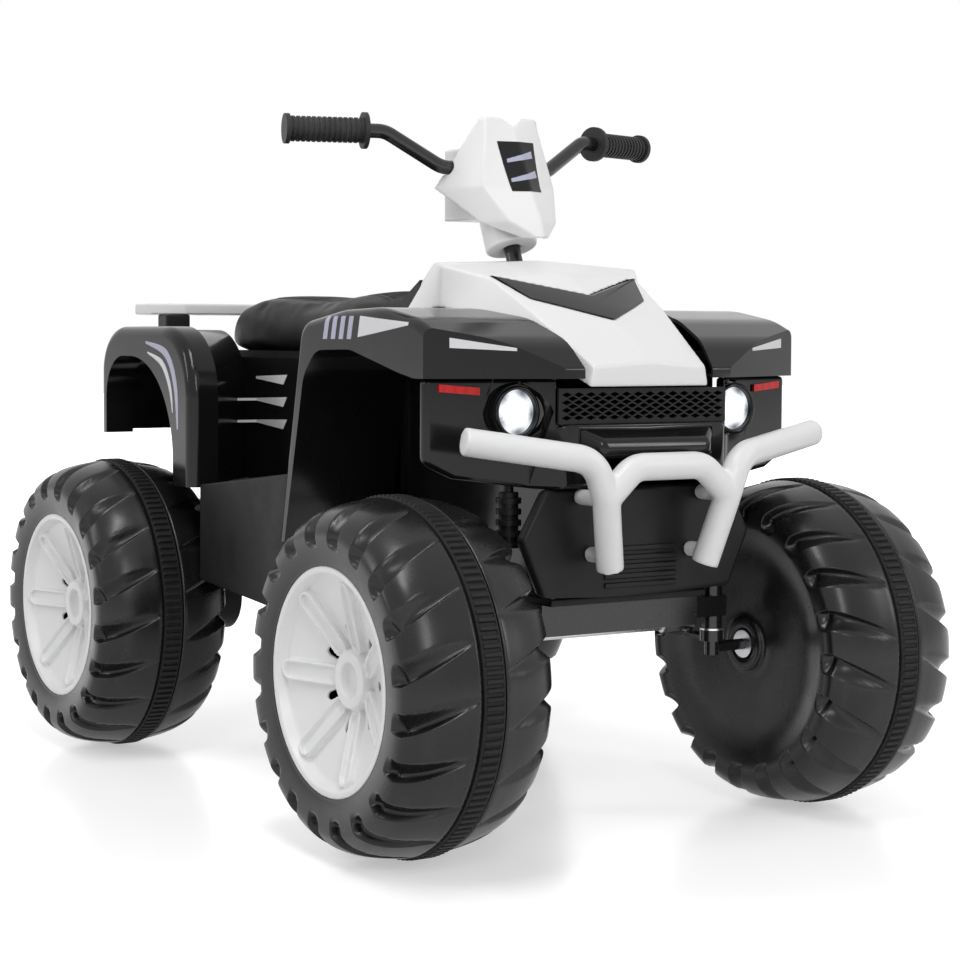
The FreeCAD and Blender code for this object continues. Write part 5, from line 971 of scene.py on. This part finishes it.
# Upper and lower line of each stripe on a side, by length and height
FENDER_WEDGE = (((-0.33, 0.527), (-0.235, 0.534)), ((-0.33, 0.524), (-0.23, 0.512)))
FENDER_BAR = (((0.0, 0.534), (0.009, 0.534)), ((0.006, 0.51), (0.015, 0.51)))
FENDER_BAR_FRONT_Y = -0.222
FENDER_BARS = 4
FENDER_BAR_STEP = 0.017
REAR_ARC_OUTER = (
    ((0.196, 0.4), (0.2, 0.455), (0.228, 0.495), (0.29, 0.506)),
    ((0.2, 0.4), (0.209, 0.452), (0.234, 0.487), (0.29, 0.503)),
)
REAR_ARC_INNER = (
    ((0.211, 0.42), (0.217, 0.453), (0.24, 0.482), (0.285, 0.493)),
    ((0.213, 0.42), (0.223, 0.45), (0.245, 0.476), (0.285, 0.491)),
)
TUB_BAR = (((0.14, 0.012), (0.222, 0.009)), ((0.15, 0.0), (0.222, 0.006)))
TUB_BAR_LOW_Z = 0.4
TUB_BARS = 3
TUB_BAR_STEP = 0.027
# Upper and lower line of each stripe on a front, by place across and height
NOSE_WEDGE = (((0.212, 0.512), (0.15, 0.502)), ((0.212, 0.502), (0.15, 0.499)))
COVER_PANEL = (((-0.024, 0.728), (0.024, 0.728)), ((-0.019, 0.672), (0.019, 0.672)))
COVER_BAR = (((-0.017, 0.004), (0.017, 0.014)), ((-0.017, 0.0), (0.017, 0.006)))
COVER_BAR_LOW_Z = (0.682, 0.704)


def on_side(lines, x, y=0.0, z=0.0):
    """The two lines of a stripe at one place across, moved along and up."""
    return [[(x, y + along, z + up) for along, up in line] for line in lines]


def on_front(lines, y, side=1.0, z=0.0):
    """The two lines of a stripe at one place along, on one side or the other, moved up."""
    return [[(side * across, y, z + up) for across, up in line] for line in lines]


def stripe(name, target, lines, way, material, layer=1):
    """A thin film between two lines of points, pressed on the target along a way."""
    top, base = (blended(line, STRIPE_STEPS // (len(line) - 1)) for line in lines)

    def place(u, v):
        i = round(u * (len(top) - 1))
        hit, spot, out, _ = target.ray_cast(top[i].lerp(base[i], v), way)
        if not hit:
            raise RuntimeError(name + " misses its shell")
        return spot + out * layer * sizes().film

    film = grid_patch(name, len(top) - 1, STRIPE_ROWS, place)
    with editing(film):
        bpy.ops.mesh.normals_make_consistent(inside=False)
    apply_modifier(film, "Film", "SOLIDIFY", thickness=sizes().film, offset=-1.0)
    bpy.ops.object.shade_smooth_by_angle(angle=SMOOTH_ANGLE)
    finish_with(film, FINISHES[material], target["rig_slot"])
    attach(film, target["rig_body"])


class QUAD_OT_stripes(bpy.types.Operator):
    """Lays plain stripes on the fenders, the tub and the bar cover"""

    bl_idname = "quad.stripes"
    bl_label = "Stripes"

    def execute(self, context):
        for side, word in SIDES:
            self.mark_front(side, word)
            self.mark_rear(side, word)
        self.mark_cover()
        return {"FINISHED"}

    def mark_front(self, side, word):
        """A wedge and four slanted bars on the fender's side, and a wedge on its swept front."""
        shell = bpy.data.objects["front_body_moulded"]
        x = side * FENDER_START_X
        stripe("fender_wedge_" + word, shell, on_side(FENDER_WEDGE, x), RIGHT * side, "pale_stripe")
        for i in range(FENDER_BARS):
            bar = on_side(FENDER_BAR, x, y=FENDER_BAR_FRONT_Y + i * FENDER_BAR_STEP)
            stripe("fender_bar_%s_%d" % (word, i + 1), shell, bar, RIGHT * side, "lilac_stripe")
        stripe("nose_wedge_" + word, shell, on_front(NOSE_WEDGE, NOSE_START_Y, side), BACK, "pale_stripe")

    def mark_rear(self, side, word):
        """Two arcs round the fender's front corner, and three bars on the tub before it."""
        shell = bpy.data.objects["rear_body_moulded"]
        x = side * FENDER_START_X
        stripe("rear_arc_outer_" + word, shell, on_side(REAR_ARC_OUTER, x), RIGHT * side, "lilac_stripe")
        stripe("rear_arc_inner_" + word, shell, on_side(REAR_ARC_INNER, x), RIGHT * side, "pale_stripe")
        for i in range(TUB_BARS):
            bar = on_side(TUB_BAR, side * TUB_START_X, z=TUB_BAR_LOW_Z + i * TUB_BAR_STEP)
            stripe("tub_bar_%s_%d" % (word, i + 1), shell, bar, RIGHT * side, "pale_stripe")

    def mark_cover(self):
        """A dark panel with two pale slanted bars on the bar cover's face."""
        shell = bpy.data.objects["bar_cover_front_soft"]
        stripe("cover_panel", shell, on_front(COVER_PANEL, COVER_START_Y), BACK, "gloss_black")
        for i, z in enumerate(COVER_BAR_LOW_Z):
            bar = on_front(COVER_BAR, COVER_START_Y, z=z)
            stripe("cover_bar_%d" % (i + 1), shell, bar, BACK, "lilac_stripe", layer=2)


# Studio

# Each softbox: name, place, what it faces, width and length, and its power
SOFTBOXES = (
    ("top_softbox", (-0.7, -0.7, 2.3), (0.0, 0.0, 0.3), (0.35, 1.3), "key_power"),
    ("left_softbox", (-2.2, 0.5, 1.5), (0.0, 0.1, 0.4), (0.25, 1.3), "side_power"),
    ("front_softbox", (-0.9, -2.4, 1.5), (0.0, -0.3, 0.35), (0.3, 1.2), "front_power"),
    ("right_softbox", (1.5, -2.2, 1.3), (0.0, -0.2, 0.4), (0.25, 1.1), "side_power"),
)
CAMERA_PLACE = (-1.33885, -2.15780, 0.51507)
CAMERA_AZIMUTH = math.radians(-31.408)
CAMERA_ELEVATION = math.radians(2.644)
CAMERA_ROLL = math.radians(0.196)
CAMERA_SHIFT = (0.0635, -0.0480)
SENSOR_WIDTH = 36.0
PLAIN_WHITE = (1.0, 1.0, 1.0, 1.0)


def seen_or_mirrored(tree):
    """1 where the camera looks straight on, in a mirror or through glass, and 0 for all other rays."""
    path = add_node(tree, "ShaderNodeLightPath")
    seen = add_node(tree, "ShaderNodeMath", operation="MAXIMUM")
    shown = add_node(tree, "ShaderNodeMath", operation="MAXIMUM")
    tree.links.new(path.outputs["Is Camera Ray"], seen.inputs[0])
    tree.links.new(path.outputs["Is Glossy Ray"], seen.inputs[1])
    tree.links.new(seen.outputs["Value"], shown.inputs[0])
    tree.links.new(path.outputs["Is Transmission Ray"], shown.inputs[1])
    return shown.outputs["Value"]


def floor_finish(colour):
    """Pale floor with a soft gloss, lifted to plain white where no shadow falls."""
    material, tree, shader = new_finish("studio_floor")
    shader.inputs["Base Color"].default_value = (*colour, 1.0)
    shader.inputs["Roughness"].default_value = 0.22
    shader.inputs["Specular IOR Level"].default_value = 0.4
    place = add_node(tree, "ShaderNodeTexCoord")
    reach = add_node(tree, "ShaderNodeVectorMath", operation="LENGTH")
    tree.links.new(place.outputs["Object"], reach.inputs[0])
    lift = add_node(tree, "ShaderNodeMath", operation="MULTIPLY")
    level = ranged(tree, reach.outputs["Value"], low=0.45, high=1.0, start=0.7, end=2.0)
    tree.links.new(level, lift.inputs[0])
    tree.links.new(seen_or_mirrored(tree), lift.inputs[1])
    shader.inputs["Emission Color"].default_value = PLAIN_WHITE
    tree.links.new(lift.outputs["Value"], shader.inputs["Emission Strength"])
    return material


def softbox(name, place, target, size, power):
    """An oblong area light that faces a point."""
    light = bpy.data.lights.new(name, "AREA")
    light.shape = "RECTANGLE"
    light.size, light.size_y = size
    light.energy = power
    lamp = bpy.data.objects.new(name, light)
    bpy.context.scene.collection.objects.link(lamp)
    lamp.location = place
    lamp.rotation_euler = (Vector(target) - Vector(place)).to_track_quat("-Z", "Y").to_euler()


def studio_sky(strength):
    """Even light on the object, and plain white where the sky is seen or mirrored."""
    world = bpy.data.worlds.new("studio_sky")
    bpy.context.scene.world = world
    world.use_nodes = True
    tree = world.node_tree
    back = tree.nodes["Background"]
    back.inputs["Color"].default_value = PLAIN_WHITE
    level = ranged(tree, seen_or_mirrored(tree), low=strength, high=1.0, start=0.0, end=1.0)
    tree.links.new(level, back.inputs["Strength"])


def studio_camera(focal):
    """The camera at the photograph's place and angle."""
    lens = bpy.data.cameras.new("studio_camera")
    camera = bpy.data.objects.new("studio_camera", lens)
    bpy.context.scene.collection.objects.link(camera)
    level = math.cos(CAMERA_ELEVATION)
    back = Vector((
        math.sin(CAMERA_AZIMUTH) * level, -math.cos(CAMERA_AZIMUTH) * level, math.sin(CAMERA_ELEVATION)
    ))
    right = Vector((0.0, 0.0, 1.0)).cross(back).normalized()
    up = back.cross(right)
    tilted = right * math.cos(CAMERA_ROLL) + up * math.sin(CAMERA_ROLL)
    turn = Matrix((tilted, back.cross(tilted), back)).transposed()
    camera.matrix_world = Matrix.Translation(CAMERA_PLACE) @ turn.to_4x4()
    lens.sensor_width = SENSOR_WIDTH
    lens.lens = focal
    lens.shift_x, lens.shift_y = CAMERA_SHIFT
    bpy.context.scene.camera = camera


class QUAD_OT_stage(bpy.types.Operator):
    """Sets the floor, the lights and the camera"""

    bl_idname = "quad.stage"
    bl_label = "Studio"

    def execute(self, context):
        studio = context.scene.quad_studio
        bpy.ops.mesh.primitive_plane_add(size=studio.floor_size)
        floor = context.active_object
        floor.name = "studio_floor"
        floor.data.materials.append(floor_finish(colours().floor[:]))
        for name, place, target, size, power in SOFTBOXES:
            softbox(name, place, target, size, getattr(studio, power))
        studio_sky(studio.sky)
        studio_camera(studio.focal)
        return {"FINISHED"}


OPERATORS = (
    QUAD_OT_finishes, QUAD_OT_shells, QUAD_OT_wheels, QUAD_OT_seat, QUAD_OT_lamps, QUAD_OT_stripes,
    QUAD_OT_stage,
)


class QUAD_PT_panel(bpy.types.Panel):
    """Lists the steps that dress the quad bike"""

    bl_label = "Quad Bike"
    bl_idname = "QUAD_PT_panel"
    bl_space_type = "VIEW_3D"
    bl_region_type = "UI"
    bl_category = "Quad Bike"

    def draw(self, context):
        for step in OPERATORS:
            self.layout.operator(step.bl_idname)
        for group in (context.scene.quad_colours, context.scene.quad_sizes, context.scene.quad_studio):
            for name in group.__annotations__:
                self.layout.prop(group, name)


CLASSES = (QuadColours, QuadSizes, QuadStudio, *OPERATORS, QUAD_PT_panel)


def register():
    """Makes the classes known to Blender, with their settings on the scene."""
    for item in CLASSES:
        bpy.utils.register_class(item)
    bpy.types.Scene.quad_colours = PointerProperty(type=QuadColours)
    bpy.types.Scene.quad_sizes = PointerProperty(type=QuadSizes)
    bpy.types.Scene.quad_studio = PointerProperty(type=QuadStudio)


def unregister():
    """Takes back what register did."""
    for name in ("quad_colours", "quad_sizes", "quad_studio"):
        delattr(bpy.types.Scene, name)
    for item in reversed(CLASSES):
        bpy.utils.unregister_class(item)


def main():
    """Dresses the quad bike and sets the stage."""
    register()
    bpy.context.scene.view_settings.view_transform = "Standard"
    bpy.ops.quad.finishes()
    bpy.ops.quad.shells()
    bpy.ops.quad.wheels()
    bpy.ops.quad.seat()
    bpy.ops.quad.lamps()
    bpy.ops.quad.stripes()
    bpy.ops.quad.stage()


if __name__ == "__main__":
    main()
